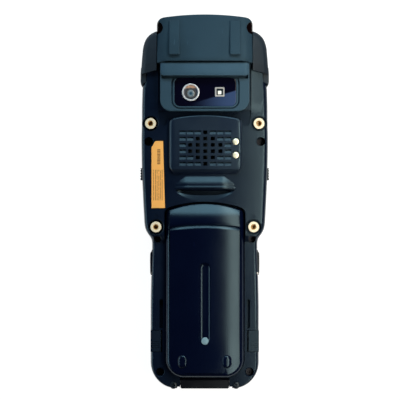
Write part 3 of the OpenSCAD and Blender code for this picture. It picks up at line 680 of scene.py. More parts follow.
def along(table, place):
    """Reads a table of places and values, straight between its rows."""
    if place <= table[0][0]:
        return table[0][1]
    for (a, first), (b, second) in zip(table, table[1:]):
        if place <= b:
            return first + (second - first) * (place - a) / (b - a)
    return table[-1][1]


def half_width(y):
    corner = END_Y + END_R
    if y < corner:
        return HANDLE_HALF - END_R + math.sqrt(max(0.0, END_R ** 2 - (y - corner) ** 2))
    reach = 0.9
    return sum(along(SIDE_LINE, y + reach * step) for step in (-1, -0.5, 0, 0.5, 1)) / 5


def body_stations():
    """Places along Y where the body's cross-section is drawn, closer together at the ends."""
    places = [END_Y + END_R * (1 - math.cos(math.radians(a))) for a in range(0, 91, 6)]
    y = places[-1]
    while y < 96.5:
        y += 1.0 if -26 < y < -9 or y > 64 else 2.6
        places.append(y)
    return [p for p in places if p < 98.0] + [98.15]


def ease(value, low, high):
    t = min(1.0, max(0.0, (value - low) / (high - low)))
    return t * t * (3 - 2 * t)


def back_depth(y):
    """Depth of the back along Y: the rails, then the slope up to the upper body."""
    return RAIL_Z + (BACK_Z - RAIL_Z) * ease(y, -24.4, -18.6)


def back_fall(x):
    """How far the back falls from its middle towards its sides."""
    return bpy.context.scene.terminal_sizes.back_crown * min(1.0, abs(x) / 37) ** 2


def end_rounding(y, radius):
    """How far the rounded edge of the bottom end draws a face in."""
    end = max(0.0, radius - (y - END_Y))
    return radius - math.sqrt(max(0.0, radius ** 2 - end ** 2)) if end else 0.0


def back_section(y, sizes, drawn_in=0.0, low=BACK_LOW_Z):
    """Cross-section of the back housing, round from its lower left corner."""
    half = half_width(y) - drawn_in
    top = back_depth(y) - drawn_in - end_rounding(y, 1.6)
    upper = ease(y, -24, -18)
    fillet = sizes.rail_fillet + (sizes.back_fillet - sizes.rail_fillet) * upper
    draft = 0.5
    right = [(half, low), (half - draft * 0.5, (low + top) / 2)]
    right += [(half - draft - x, z) for x, z in round_edge(top, fillet, 6)]
    right += [((half - draft - fillet) * share, top) for share in (0.88, 0.75, 0.62, 0.5, 0.37, 0.25, 0.12)]
    right = [(x, z - back_fall(x) * upper if z > low + 1 else z) for x, z in right]
    return [(x, y, z) for x, z in mirrored(right)]


def front_section(y, sizes):
    """Cross-section of the front housing, with its rounded bezel."""
    half = half_width(y)
    fillet = sizes.front_fillet
    low = end_rounding(y, 2.2)
    bezel = [(half - fillet * (1 - math.sin(a)), low + fillet * (1 - math.cos(a))) for a in quarter(6)]
    return [(x, y, z) for x, z in mirrored([(half * 0.5, low)] + bezel + [(half, SPLIT_Z)])]


def nose_outline(drawn_in=0.0, base=90.0):
    """The squared end of the head, from a given place along the body."""
    half = NOSE_HALF - drawn_in
    corner, crown = domed_end(half, TOP_Y - drawn_in, NOSE_ARC_R - drawn_in, NOSE_CORNER - drawn_in)
    return mirrored([(half, base)] + corner, crown)


def housing_shell(name, section, nose_levels, sizes):
    """The outer skin of one half of the housing, as a solid."""
    body = solid(name, add_rings, [section(y, sizes) for y in body_stations()])
    return join(body, add_slab, nose_outline(), nose_levels)


def scan_window_band(bm):
    """The band that the scan window takes from the end of the head."""
    low, high = cad("scan_window")
    outer = nose_outline(-1.0, low.y - 0.1)
    inner = nose_outline(1.7, low.y - 0.1)
    add_slab(bm, outer + inner[::-1], [(0, low.z - 0.1), (0, BACK_Z + 0.3)])


# ---------------------------------------------------------------- outlines of parts

BATTERY_HALF = 23.15
BATTERY_LOW = -102.8
BATTERY_CORNER = 10.5
BATTERY_TOP_R = 69.0
BATTERY_TOP_Y = -1.0
BATTERY_TOP_CORNER = 3.4
BATTERY_Z = 31.0
PACK_LOW_Z = cad("battery_case")[0].z
BAY_GAP = 0.42
# Place of the pale disc that paints the highlight at the lower end of the battery's groove
GROOVE_DISC = (0.1, -81.4)


def battery_outline(drawn_in=0.0, corner_steps=10, beyond=0.0):
    """The pack's outline; its domed top end can be drawn beyond its place."""
    c = BATTERY_CORNER
    low = arc(BATTERY_HALF - c, BATTERY_LOW + c, c - drawn_in, -90, 0, corner_steps)
    corner, crown = domed_end(BATTERY_HALF - drawn_in, BATTERY_TOP_Y + beyond - drawn_in,
                              BATTERY_TOP_R - drawn_in, BATTERY_TOP_CORNER - drawn_in)
    return mirrored(low + corner, crown)


BAY_FLOOR_Z = 15.3
INSERTS = tuple((side * x, y) for side in (-1, 1) for x, y in ((31.9, 46.3), (28.75, -14.6)))
INSERT_R = 3.3
INSERT_TOP_Z = 26.2
COUNTERBORE_R = 4.5
CASE_SCREWS = tuple((side * x, y, r) for side in (-1, 1)
                    for x, y, r in ((33.0, 35.7, 2.6), (27.9, -21.7, 2.1), (26.4, -100.3, 2.4)))
SCREW_SEAT_Z = 16.0
LENS = (-8.2, 64.4)
LENS_CORE = (-8.2, 63.75)
FLASH = (8.8, 64.6)
WINDOW = (0.35, 64.55)
SPEAKER = (0.3, 32.3)
CONTACT_X = 18.2
CONTACT_ROWS = (35.5, 27.6)
LATCH_IN = 25.9
LATCH_SPRING = (-79, 19)
STUD = (18.5, -108.1)
NAV_Y = -15.5
KEYS = tuple("key_" + name for name in PAD_KEYS) + ("scan_key", "power_key", "nav_key")
KEY_GAP = 0.3


def label_outline(grow=0.0):
    return inset([(-31.4, -3.5), (-23.4, -3.5), (-24.5, 36.0), (-29.1, 36.0), (-31.4, 32.2)], -grow)


def on_side(outline, side):
    """An outline drawn for the right side, on either side of the body."""
    return list(outline) if side > 0 else [(-x, y) for x, y in reversed(outline)]


def key_face(node):
    """The corners of a key's cap, without the flange behind the face."""
    low, high = cad(node)
    flange = 1.0 if node in ("scan_key", "nav_key") else 0.8
    rim = Vector((flange, flange, 0))
    return low + rim, high - rim


def middle(low, high):
    """The middle between two corners, across Z."""
    return (low.x + high.x) / 2, (low.y + high.y) / 2


# ---------------------------------------------------------------- operators


class TERMINAL_OT_housings(bpy.types.Operator):
    """Front and back housing with every bay and hole in them, and the seal between them"""

    bl_idname = "terminal.housings"
    bl_label = "Housings"

    def execute(self, context):
        sizes = context.scene.terminal_sizes
        colours = context.scene.terminal_colours
        plastic = moulded("shell_plastic", colours.shell, 0.33, shine=0.46)
        self.back(sizes, plastic)
        self.front(sizes, plastic)
        finish_node("housing_seal", rubbery("seal_rubber_finish", colours.rubber))
        return {"FINISHED"}

    def back(self, sizes, plastic):
        levels = [(0.0, BACK_LOW_Z)] + round_edge(BACK_Z, 1.0, 5)
        shell = housing_shell("back_shell", back_section, levels, sizes)
        combine(shell, self.ridge(), "UNION")
        combine(shell, self.shoulders(), "UNION")
        hollow = [(0, 12), (0, 25)]
        cut(shell, add_slab, rounded(67, 76, 6, 0, 45), hollow)
        cut(shell, add_slab, nose_outline(3.7, 78), hollow)
        join(shell, self.bosses)
        bay = [(0, BAY_FLOOR_Z), (0, 24), (-0.5, 27.2), (-0.5, 34)]
        cut(shell, add_slab, battery_outline(-BAY_GAP, beyond=0.5), bay)
        cut(shell, self.scoop)
        cut(shell, add_slab, self.channel(), [(0, 25.3), (0, 30)])
        cut(shell, self.fastener_holes)
        cut(shell, self.openings)
        cut(shell, self.side_openings, 10.0)
        cut(shell, self.spring_seats)
        cut(shell, self.end_openings)
        cut(shell, scan_window_band)
        polish(shell, plastic, sizes.edge_break * 0.7)
        fit(shell, "housing", "shell", "back_housing")

    def ridge(self):
        """The finger ridge across the body, between the grille and the battery."""
        base = 25.5
        profile = [(16.2, base), (16.2, 26.75), (15.6, 26.93), (15.0, 27.15), (14.4, 27.39), (13.8, 27.64),
                   (13.2, 27.90), (12.6, 28.17), (12.0, 28.42), (11.4, 28.64), (10.8, 28.80), (10.3, 28.86),
                   (9.9, 28.76), (9.6, 28.70), (9.2, 28.86), (8.8, 29.02), (8.5, 29.04), (8.0, 28.9),
                   (8.0, base)]
        rings = []
        for x in (20.5 * i / 30 for i in range(-30, 31)):
            lower = 2.7 * ease(abs(x), 9.5, 21.0)
            rings.append([(x, y, z if z == base else max(base + 0.2, z - lower)) for y, z in profile])
        return solid("ridge", add_rings, rings)

    def scoop(self, bm):
        """The hollow below the ridge: a steep wall, and a floor that rises again towards the battery."""
        profile = [(8.3, 31.0), (8.3, 28.2), (6.9, 25.6), (6.7, 21.8), (4.3, 21.8), (4.1, 26.05), (1.9, 26.6),
                   (0.2, 26.98), (0.2, 31.0)]
        rings = []
        for x in (18.0 * i / 24 for i in range(-24, 25)):
            narrow, shallow = 0.96 * (abs(x) / 18.0) ** 3, 0.98 * (abs(x) / 18.0) ** 16
            rings.append([(x, y + (7.4 - y) * narrow, z if z > 30 else z + max(0.0, 26.9 - z) * shallow)
                          for y, z in profile])
        add_rings(bm, rings)

    def channel(self):
        """Outline of the dark channel below the camera frame, with a pocket beside each upper insert."""
        return mirrored([(21.8, 48.4), (22.2, 46.0), (23.4, 44.9), (25.0, 44.9), (26.2, 46.2), (26.9, 49.0),
                         (27.3, 51.8), (27.3, 54.2)])

    def shoulders(self):
        """Raised flanks beside the camera frame, which fall away towards the sides."""
        outline = [(27.3, 52.2), (28.3, 51.2), (34.3, 51.2), (34.3, 72), (33.6, 82), (27.3, 82)]

        def flank(x, y, z):
            rise = 1.4 * ease(y, 51.2, 60.0) * max(0.0, 1 - (x - 27.3) / 7.0)
            return rise - back_fall(x) - 0.04 if z > 26 else 0.0

        return both_sides(slab("shoulder", outline, [(0, 25.5), (0, 27.0)], flank, 1.2))

    def bosses(self, bm):
        """Pillars in the hollow, round the inserts and the case screws."""
        for x, y in INSERTS:
            add_rod(bm, (x, y, 14), (x, y, 25.1), 5.0, 40)
        for x, y, r in CASE_SCREWS:
            if y > 0:
                add_rod(bm, (x, y, 14), (x, y, 25.1), r + 0.9, 40)

    def fastener_holes(self, bm):
        low = cad("grip_inserts")[0].z
        top = BACK_Z - 0.45
        for x, y in INSERTS:
            add_turned(bm, [(0, low - 0.1), (INSERT_R, low - 0.1), (INSERT_R, 23.2), (COUNTERBORE_R, 23.2),
                            (COUNTERBORE_R, top - 0.3), (COUNTERBORE_R + 0.4, top), (COUNTERBORE_R + 0.4, 29),
                            (0, 29)], x, y, 48)
        for x, y, r in CASE_SCREWS:
            top = RAIL_Z if y < -90 else (BACK_Z - 0.5 if y > 0 else 24.9)
            add_rod(bm, (x, y, SCREW_SEAT_Z), (x, y, top), r, 40, 0.35)
        for side in (-1, 1):
            add_rod(bm, (side * 28.6, -8.4, BACK_Z - 0.9), (side * 28.6, -8.4, BACK_Z + 1), 1.15, 28)

    def openings(self, bm):
        """Openings under the camera and the grille, the label's recess and the battery terminals."""
        through = [(0, 20), (0, 30)]
        holes = [rounded(15.6, 15, 1, *LENS), rounded(8, 8, 1, *FLASH), circle(11, *SPEAKER)]
        for outline in holes + [circle(1.4, CONTACT_X, y, 20) for y in CONTACT_ROWS]:
            add_slab(bm, outline, through)
        add_slab(bm, label_outline(0.35), [(0, 26.15), (0, 29)],
                 lambda x, y, z: -back_fall(x) if z < 27 else 0)
        for i in range(5):
            x = (i - 2) * 4.0
            add_box(bm, x - 1.1, x + 1.1, -13.1, -6.9, 10, 16)

    def side_openings(self, bm, low):
        """Recesses of the port lids, and in the back also those of the side keys and latches."""
        port = [(29.3, -43.6), (30.5, -43.6), (31.1, -44.2), (41, -44.2), (41, -27.8), (30.05, -27.8),
                (30.05, -40.4), (29.3, -40.4)]
        levels = [(0, 4.7), (0, 14)] if low < 5 else [(0, low), (0, 20.5)]
        for side in (-1, 1):
            add_slab(bm, on_side(port, side), levels)
            if low > 5:
                add_box(bm, *beside(side, 33, 41, 12.75, 20.35, 15.75, 22.25))
                add_box(bm, *beside(side, LATCH_IN - 0.85, 41, -88.5, -75.5, 14.2, 30))
                add_slab(bm, rounded(2.1, 17.4, 0.9, side * 25.65, -65.9), [(0, 19.3), (0, 30)])

    def spring_seats(self, bm):
        """A round seat in the inner wall of each latch's pocket, for the end of its spring."""
        for side in (-1, 1):
            add_rod(bm, (side * 24.33, *LATCH_SPRING), (side * 27, *LATCH_SPRING), 1.75)

    def end_openings(self, bm):
        """The bottom lid's pocket and the holes of the two studs."""
        profile = [(-112, 3.2), (-108.1, 3.2), (-108.1, 18.9), (-103.7, 18.9), (-103.7, 30), (-112, 30)]
        add_profile(bm, profile, -14.6, 14.6)
        for side in (-1, 1):
            add_rod(bm, (side * STUD[0], STUD[1], 9.9), (side * STUD[0], STUD[1], 30), 2.2)
            add_box(bm, *beside(side, 14.7, 16.3, -112, -108.9, -1, 30))

    def front(self, sizes, plastic):
        levels = [(2.3 * (1 - math.sin(a)), 2.3 * (1 - math.cos(a))) for a in quarter(5)] + [(0.0, SPLIT_Z)]
        shell = housing_shell("front_shell", front_section, levels, sizes)
        cut(shell, add_slab, self.face_outline(), [(-1.0, -1), (0, 0.0), (0.4, 1.0)])
        cut(shell, add_rings, [self.hollow(y) for y in body_stations() if -106 < y < 95])
        cut(shell, add_slab, nose_outline(3.7, 92), [(0, 3), (0, 14)])
        cut(shell, self.key_holes)
        cut(shell, self.side_openings, 4.7)
        cut(shell, self.end_openings)
        cut(shell, self.port_holes)
        cut(shell, scan_window_band)
        polish(shell, plastic, sizes.edge_break * 0.7)
        fit(shell, "housing", "shell", "front_housing")

    def face_outline(self):
        """The recessed face inside the bezel rim."""
        places = [p for p in body_stations() if -104.0 < p < 93]
        return mirrored([(13.5, -105), (18, -104.4)] + [(half_width(p) - 5.2, p) for p in places])

    def hollow(self, y):
        half = half_width(y) - 2.0
        return [(-half, y, 3.0), (half, y, 3.0), (half, y, 14), (-half, y, 14)]

    def key_holes(self, bm):
        low, high = cad("display_window")
        add_slab(bm, rounded(60.4, high.y - low.y + 0.4, 3.2, 0, middle(low, high)[1]), [(0, -1), (0, 2.75)])
        through = [(0, -1), (0, 4)]
        for name in KEYS:
            a, b = key_face(name)
            width, height = b.x - a.x + 2 * KEY_GAP, b.y - a.y + 2 * KEY_GAP
            radius = 2.5 if name.startswith("key_") else height / 2 - 0.01
            add_slab(bm, rounded(width, height, radius, *middle(a, b), 10), through)
        add_slab(bm, rounded(13, 1.4, 0.68, 0, 95.2), through)
        add_slab(bm, circle(0.7, 0, -94.5, 16), through)

    def port_holes(self, bm):
        add_box(bm, -31, -27, -39.9, -31.5, 8.4, 12.7)
        add_rod(bm, (27, -35.7, 11.2), (31, -35.7, 11.2), 3.0)
        add_box(bm, -11, 11, -109, -104, 4.5, 12.2)


class TERMINAL_OT_head(bpy.types.Operator):
    """Bumper, head cover, visor and scan window"""

    bl_idname = "terminal.head"
    bl_label = "Scan head"

    def execute(self, context):
        sizes = context.scene.terminal_sizes
        colours = context.scene.terminal_colours
        plastic = moulded("head_plastic_finish", colours.head, 0.52, shine=0.14)
        self.bumper(sizes, rubbery("bumper_rubber_finish", colours.rubber, 0.55))
        self.cover(plastic)
        # The visor is the head colour made 1.9 times lighter: painted light, a lit copy of the cover's
        # plastic.
        self.visor(moulded("visor_lit_copy", tone(colours.head, 1.9), 0.5, shine=0.2))
        self.scan_window()
        return {"FINISHED"}

    def bumper(self, sizes, rubber):
        edge = [(20, 66), (37.6, 66), (37.6, 76), (37.2, 80), (36.9, 84), (36.6, 87.3), (36.4, 89.8),
                (35.9, 92.2), (35.3, 94.1), (34.6, 95.6), (33.7, 96.9), (32.5, 98.1), (31.1, 99.1),
                (29.5, 99.9), (28, 100.4), (20, 101.5)]
        levels = [(0.7, 5), (0.4, 8), (0, 10)] + round_edge(32.0, 3.0, 8)
        ear = slab("head_bumper_skin", edge, levels, self.ear_slope, 1.5)
        below = [(20, 60), (45, 60), (45, 73.4), (37.6, 75.2), (28.6, 77.4), (20, 79.4)]
        cut(ear, add_slab, below, [(0, 0), (0, 40)])
        flange = [(34, 79), (34, 70.6), (35.9, 69.6), (36.9, 68.6), (37.5, 69.1), (37.85, 71.0), (37.8, 75.5),
                  (37.6, 79)]
        join(ear, add_slab, flange, [(0.3, 5.3), (0, 5.8), (0, 24.5), (0.3, 25.4), (0.5, 25.8)])
        cut(ear, add_rings, [back_section(y, sizes, -0.05, -4.0) for y in body_stations()])
        cut(ear, add_box, 0, 28.25, 60, 120, -5, 50)
        cut(ear, add_slab, nose_outline(-0.05, 70), [(0, -4), (0, 27.05)])
        polish(both_sides(ear), rubber, 0.3)
        fit(ear, "housing", "bumper_rubber", "head_bumper")

    def ear_slope(self, x, y, z):
        """The ear falls away outwards and towards the end of the head."""
        share = max(0.0, (z - 24) / 8.0)
        return -share * (0.36 * max(0.0, x - 28.3) + 0.12 * max(0.0, y - 90) + 0.26 * max(0.0, 81 - y))

    def cover_outline(self):
        corner, crown = domed_end(28.1, TOP_Y - 0.2, NOSE_ARC_R, NOSE_CORNER)
        return mirrored([(21.0, 82.2), (24.6, 81.9)] + arc(27.1, 82.2, 1.0, -85, 0, 5) + corner, crown)

    def cover_slope(self, x, y, z):
        """The cover falls towards the end of the head and, faster and faster, towards its sides."""
        share = (z - BACK_Z) / 9.2
        return -share * (0.20 * max(0.0, y - 84.4) + 0.0016 * x * x + 0.065 * max(0.0, abs(x) - 22.0) ** 2)

    def rib_slope(self, x, y, z):
        """The ribs fall with the cover, above a foot that stays level inside it."""
        return -0.7 - 0.27 * max(0.0, y - 85.9) if z > 30 else 0.0

    def cover(self, plastic):
        levels = [(0, BACK_Z - 0.02), (0, 29), (0.1, 33), (0.15, 35.6)] + round_edge(36.2, 0.55, 4, 0.15)
        cover = slab("head_cover_skin", self.cover_outline(), levels, self.cover_slope, 1.5)
        rib_levels = [(0, 28), (0, 37.8), (0.25, 38.1), (0.6, 38.3)]
        for side in (-1, 1):
            join(cover, add_slab, rounded(6.3, 20.6, 0.9, side * 17.75, 96.2, 4), rib_levels, self.rib_slope)
            cut(cover, add_slab, circle(3.9, side * 28.4, 102.2), [(0, 20), (0, 40)])
        polish(cover, plastic, 0.2)
        fit(cover, "housing", "head_plastic", "head_cover")

    def visor(self, plastic):
        outline = mirrored(arc(23.8, 76.0, 2.1, -90, -3, 6) + [(25.9, 81.6)])
        levels = [(0.5, 32.12), (0.1, 32.4), (0, 32.8)] + round_edge(35.2, 0.4)
        visor = slab("camera_visor_skin", outline, levels, self.visor_slope, 1.5)
        join(visor, add_box, -25.7, 25.7, 81.22, 81.55, BACK_Z, 32.9)
        polish(visor, plastic, 0.12)
        fit(visor, "housing", "head_plastic", "camera_visor")

    def visor_slope(self, x, y, z):
        """The visor falls towards the cover and at its two ends."""
        share = max(0.0, z - 32.6) / 2.6
        return -share * (0.17 * max(0.0, y - 76.4) + 0.0008 * x * x + 0.26 * max(0.0, abs(x) - 24.0) ** 2)

    def scan_window(self):
        gloss = polished("scan_window_finish", (0.0035, 0.0006, 0.0010), 0.05, 0.06, 0.3)
        levels = [(0, 6), (0, 26.4), (0.25, 26.9), (0.6, BACK_Z)]
        band = slab("scan_window_band", nose_outline(0.0, 80), levels)
        cut(band, add_slab, nose_outline(1.6, 70), [(0, 0), (0, 30)])
        cut(band, add_box, -40, 40, 60, 99.6, 0, 40)
        tab = [(24.2, 98.3), (28.0, 98.3), (28.0, 104.4), (27.2, 106.4), (24.2, 106.4)]
        for side in (-1, 1):
            join(band, add_slab, on_side(tab, side), [(0, 26.5), (0, 27.5), (0.4, 28)])
        polish(band, gloss, 0.15)
        fit(band, "housing", "scan_red", "scan_window")


class TERMINAL_OT_camera(bpy.types.Operator):
    """Camera frame, window, lens and flash"""

    bl_idname = "terminal.camera"
    bl_label = "Camera"

    def execute(self, context):
        colours = context.scene.terminal_colours
        # The frame is the head colour made 1.55 times lighter: painted light, a lit copy of the cover's
        # plastic.
        self.frame(moulded("camera_frame_lit_copy", tone(colours.head, 1.55), 0.45, shine=0.3))
        self.window()
        self.lens()
        self.flash()
        return {"FINISHED"}

    def frame(self, plastic):
        outline = mirrored(arc(19.6, 59.8, 6.5, -90, 0, 10) + [(26.1, 81.2)])
        bezel = slab("camera_bezel", outline, [(0, BACK_Z - 0.6), (0, 31.4)] + round_edge(32, 0.5))
        seat = rounded(36.2, 16.9, 3.2, *WINDOW, 8)
        cut(bezel, add_slab, rounded(34.4, 13.5, 2, *WINDOW), [(0, 20), (0, 40)])
        cut(bezel, add_slab, seat, [(0, 29.4), (0, 40)])
        cut(bezel, add_slab, rounded(40.0, 20.1, 5.0, *WINDOW, 8), [(0, 30.2), (0, 40)])
        lip = slab("lip", rounded(38.7, 18.8, 4.4, *WINDOW, 8), [(0, 29.8), (0, 30.8), (0.3, 31.15)])
        cut(lip, add_slab, seat, [(0, 25), (0, 31.0), (-0.4, 31.4)])
        combine(bezel, lip, "UNION")
        cut(bezel, add_box, -25.4, 25.4, 72.3, 75.2, 28.4, 40)
        polish(bezel, plastic, 0.12)
        fit(bezel, "housing", "head_plastic", "camera_frame")

    def window(self):
        g = Graph("camera_window_finish")
        at = g.place()
        x, y, _ = g.axes(at)
        # painted reflection: the glass is drawn blue below a slanting line, standing for light reflected in it
        painted_reflection = g.band(x * 0.292 - y + 0.0601, -0.0004, 0.0006) * g.band(x, -0.010, 0.016)
        smears = g.band(g.noise(at, 260.0, 4.0, 0.6), 0.5, 0.75)
        body = g.blend(painted_reflection, (0.0012, 0.0012, 0.008), (0.034, 0.060, 0.140))
        levels = [(0, 29.45), (0, 30.35), (0.12, 30.52), (0.3, 30.6)]
        glass = slab("camera_glass", rounded(36.1, 16.8, 3.15, *WINDOW, 8), levels)
        polish(glass, g.surface(Base_Color=body, Roughness=smears * 0.06 + 0.03, Coat_Weight=1.0,
                                Coat_Roughness=0.02))
        fit(glass, "housing", "black_gloss", "camera_window")

    def lens(self):
        """Ring, barrel, core and dome, each turned from a profile whose depths start at the ring's foot."""
        foot = cad("camera_lens_ring")[0].z
        metal = machined("lens_ring_metal", (0.82, 0.83, 0.88), 0.28, 0.0002, in_metres(LENS), 0.4)
        black = machined("lens_core_black", (0.020, 0.021, 0.026), 0.35, 0.0003, in_metres(LENS_CORE), 0.0)
        for name, node, slot, place, sides, finish, profile in (
                ("lens_ring", "camera_lens_ring", "lens_metal", LENS, 72, metal,
                 ((4.15, 0), (5.1, 0), (5.1, 0.42), (4.95, 0.62), (4.7, 0.7), (4.45, 0.66), (4.2, 0.4))),
                ("lens_barrel", "camera_lens", "inner_black", LENS, 72, self.barrel_finish(),
                 ((0, 0), (4.12, 0), (4.12, 0.34), (3.9, 0.38), (3.6, 0.30), (3.3, 0.14), (0, 0.14))),
                ("lens_core", "camera_lens", "inner_black", LENS_CORE, 64, black,
                 ((2.1, 0.08), (3.05, 0.08), (3.05, 0.44), (2.9, 0.52), (2.5, 0.52), (2.2, 0.36))),
                ("lens_dome", "camera_lens", "lens_glass", LENS_CORE, 48, self.coating(),
                 ((0, 0.08), (2.3, 0.14), (2.2, 0.22), (1.8, 0.34), (1.3, 0.43), (0.7, 0.48), (0, 0.5)))):
            piece = turned(name, [(radius, foot + up) for radius, up in profile], (place,), sides)
            polish(piece, finish)
            fit(piece, "housing", slot, node)
        finish_node("camera_module", moulded("camera_module_finish", (0.02, 0.02, 0.022)))

    def coating(self):
        """Coated glass, pale in a ring round its dark middle."""
        g = Graph("lens_coating")
        x, y, _ = g.axes(g.place())
        stops = ((0.0, (0.02, 0.05, 0.09)), (0.35, (0.03, 0.07, 0.11)), (0.45, (0.13, 0.19, 0.24)),
                 (0.85, (0.16, 0.19, 0.22)), (1.0, (0.01, 0.01, 0.015)))
        share = apart(x, y, in_metres(LENS_CORE)) / (2.3 * MM)
        tint = g.node("ShaderNodeValToRGB", {"stops": stops}, {0: share})
        return g.surface(Base_Color=tint, Roughness=0.06, Coat_Weight=1.0, Coat_Roughness=0.02)

    def barrel_finish(self):
        """Grey dish round the lens, with a painted bronze reflection on the side towards the head."""
        g = Graph("lens_dish")
        at = g.place()
        x, y, _ = g.axes(at)
        radius = apart(x, y, in_metres(LENS))
        # painted reflection: a bronze crescent towards the head stands for the light reflected in the lens
        bronze_reflection = g.band(y - LENS[1] * MM, 0.0018, 0.0030) * g.band(radius, 0.0042, 0.0038)
        grey = g.blend(g.noise(at, 1500.0, 3.0), (0.020, 0.025, 0.040), (0.045, 0.055, 0.080))
        rings = radius.waves(0.0003) * 0.5
        return g.surface(Base_Color=g.blend(bronze_reflection, grey, (0.42, 0.25, 0.17)), Roughness=0.35,
                         Normal=g.bump(rings, 0.00002, 0.4), Coat_Weight=0.4)

    def flash(self):
        z = cad("flash_frame")[0].z
        bezel = slab("flash_bezel", rounded(5.6, 5.6, 0.5, *FLASH), [(0, z), (0, z + 0.25), (0.12, z + 0.4)])
        cut(bezel, add_slab, rounded(3.9, 3.9, 0.3, *FLASH), [(0, z - 1), (0, z + 2)])
        polish(bezel, machined("flash_bezel_metal", (0.80, 0.81, 0.83), 0.34))
        fit(bezel, "housing", "lens_metal", "flash_frame")
        well = slab("flash_well", rounded(3.85, 3.85, 0.3, *FLASH), [(0, z), (0, z + 0.1)])
        polish(well, moulded("flash_well_finish", (0.010, 0.011, 0.014), 0.4))
        fit(well, "housing", "inner_black", "flash_led")
        die = rounded(2.1, 2.1, 0.4, FLASH[0] - 0.1, FLASH[1] - 0.4)
        led = slab("flash_die", die, [(0, z + 0.1), (0, z + 0.22), (0.15, z + 0.3)])
        g = Graph("flash_die_finish")
        white = g.blend(g.noise(g.place(), 2500.0, 3.0), (0.86, 0.86, 0.80), (0.95, 0.95, 0.92))
        polish(led, g.surface(Base_Color=white, Roughness=0.22, Coat_Weight=0.8))
        fit(led, "housing", "led_white", "flash_led")


class TERMINAL_OT_grille(bpy.types.Operator):
    """Speaker grille, speaker and the contacts beside it"""

    bl_idname = "terminal.grille"
    bl_label = "Speaker grille"
    open_columns = (0, 1, 2, 2, 1, 0)

    def execute(self, context):
        colours = context.scene.terminal_colours
        cx = SPEAKER[0]
        right = [(17.5, 16.5), (18.6, 16.9), (19.6, 17.9), (21.0, 20.4), (21.3, 21.6), (21.3, 46.4),
                 (20.7, 47.9), (19.2, 49.0)]
        outline = [(x + cx, y) for x, y in mirrored(right, arc(0, 51.2 - 90, 90, 78.2, 101.8, 10))]
        levels = [(0, 25.2), (0, 28.9)] + round_edge(30, 0.9, 5)
        pad = slab("grille_pad", outline, levels, self.pad_slope, 1.5)
        cut(pad, add_rod, (*SPEAKER, 24), (*SPEAKER, 28.2), 12.4, 64)
        cut(pad, self.cells)
        cut(pad, self.contact_wells)
        # The pad is the shell colour made 1.25 times lighter: painted sheen, a lit copy of the shell plastic.
        polish(pad, moulded("grille_plastic_sheen_copy", tone(colours.shell, 1.25), 0.38, shine=0.7), 0.12)
        fit(pad, "housing", "shell", "speaker_grille")
        finish_node("speaker", moulded("speaker_cone", (0.012, 0.012, 0.013), 0.7))
        profile = [(0, 23.6), (1.38, 23.6), (1.38, 29.0), (1.85, 29.05), (1.85, 29.45), (1.6, 29.62),
                   (0.9, 29.7), (0, 29.72)]
        pins = turned("contact_pins", profile, [(CONTACT_X, y) for y in CONTACT_ROWS], 40)
        polish(pins, machined("contact_gold", colours.contact, 0.38, metal=0.7))
        fit(pins, "housing", "gold_plate", "grip_contacts")
        return {"FINISHED"}

    def pad_slope(self, x, y, z):
        """The pad falls steeply at its lower end and softly at its sides."""
        share = max(0.0, z - 27) / 3
        side = max(0.0, x - 19.8, -18.0 - x)
        return -share * (1.15 * max(0.0, 18.9 - y) + 0.19 * side ** 2)

    def cells(self, bm):
        """Seven columns and six rows: through holes in the middle, shallow sloping dimples round them."""
        for row in range(6):
            for column in range(-3, 4):
                x, y = SPEAKER[0] + column * 4.42, 40.95 - row * 3.68
                if abs(column) <= self.open_columns[row]:
                    add_box(bm, x - 1.2, x + 1.2, y - 1.05, y + 1.1, 26, 34)
                else:
                    dimple = [(y + 1.1, 28.3), (y + 1.1, 34), (y - 1.2, 34), (y - 1.2, 29.85),
                              (y + 0.15, 29.45), (y + 0.15, 28.3)]
                    add_profile(bm, dimple, x - 1.85, x + 1.85)

    def contact_wells(self, bm):
        profile = [(0, 26), (1.4, 26), (1.4, 29.05), (2.45, 29.05), (2.45, 29.8), (2.75, 30.1), (2.75, 32),
                   (0, 32)]
        for y in CONTACT_ROWS:
            add_turned(bm, profile, CONTACT_X, y, 40)


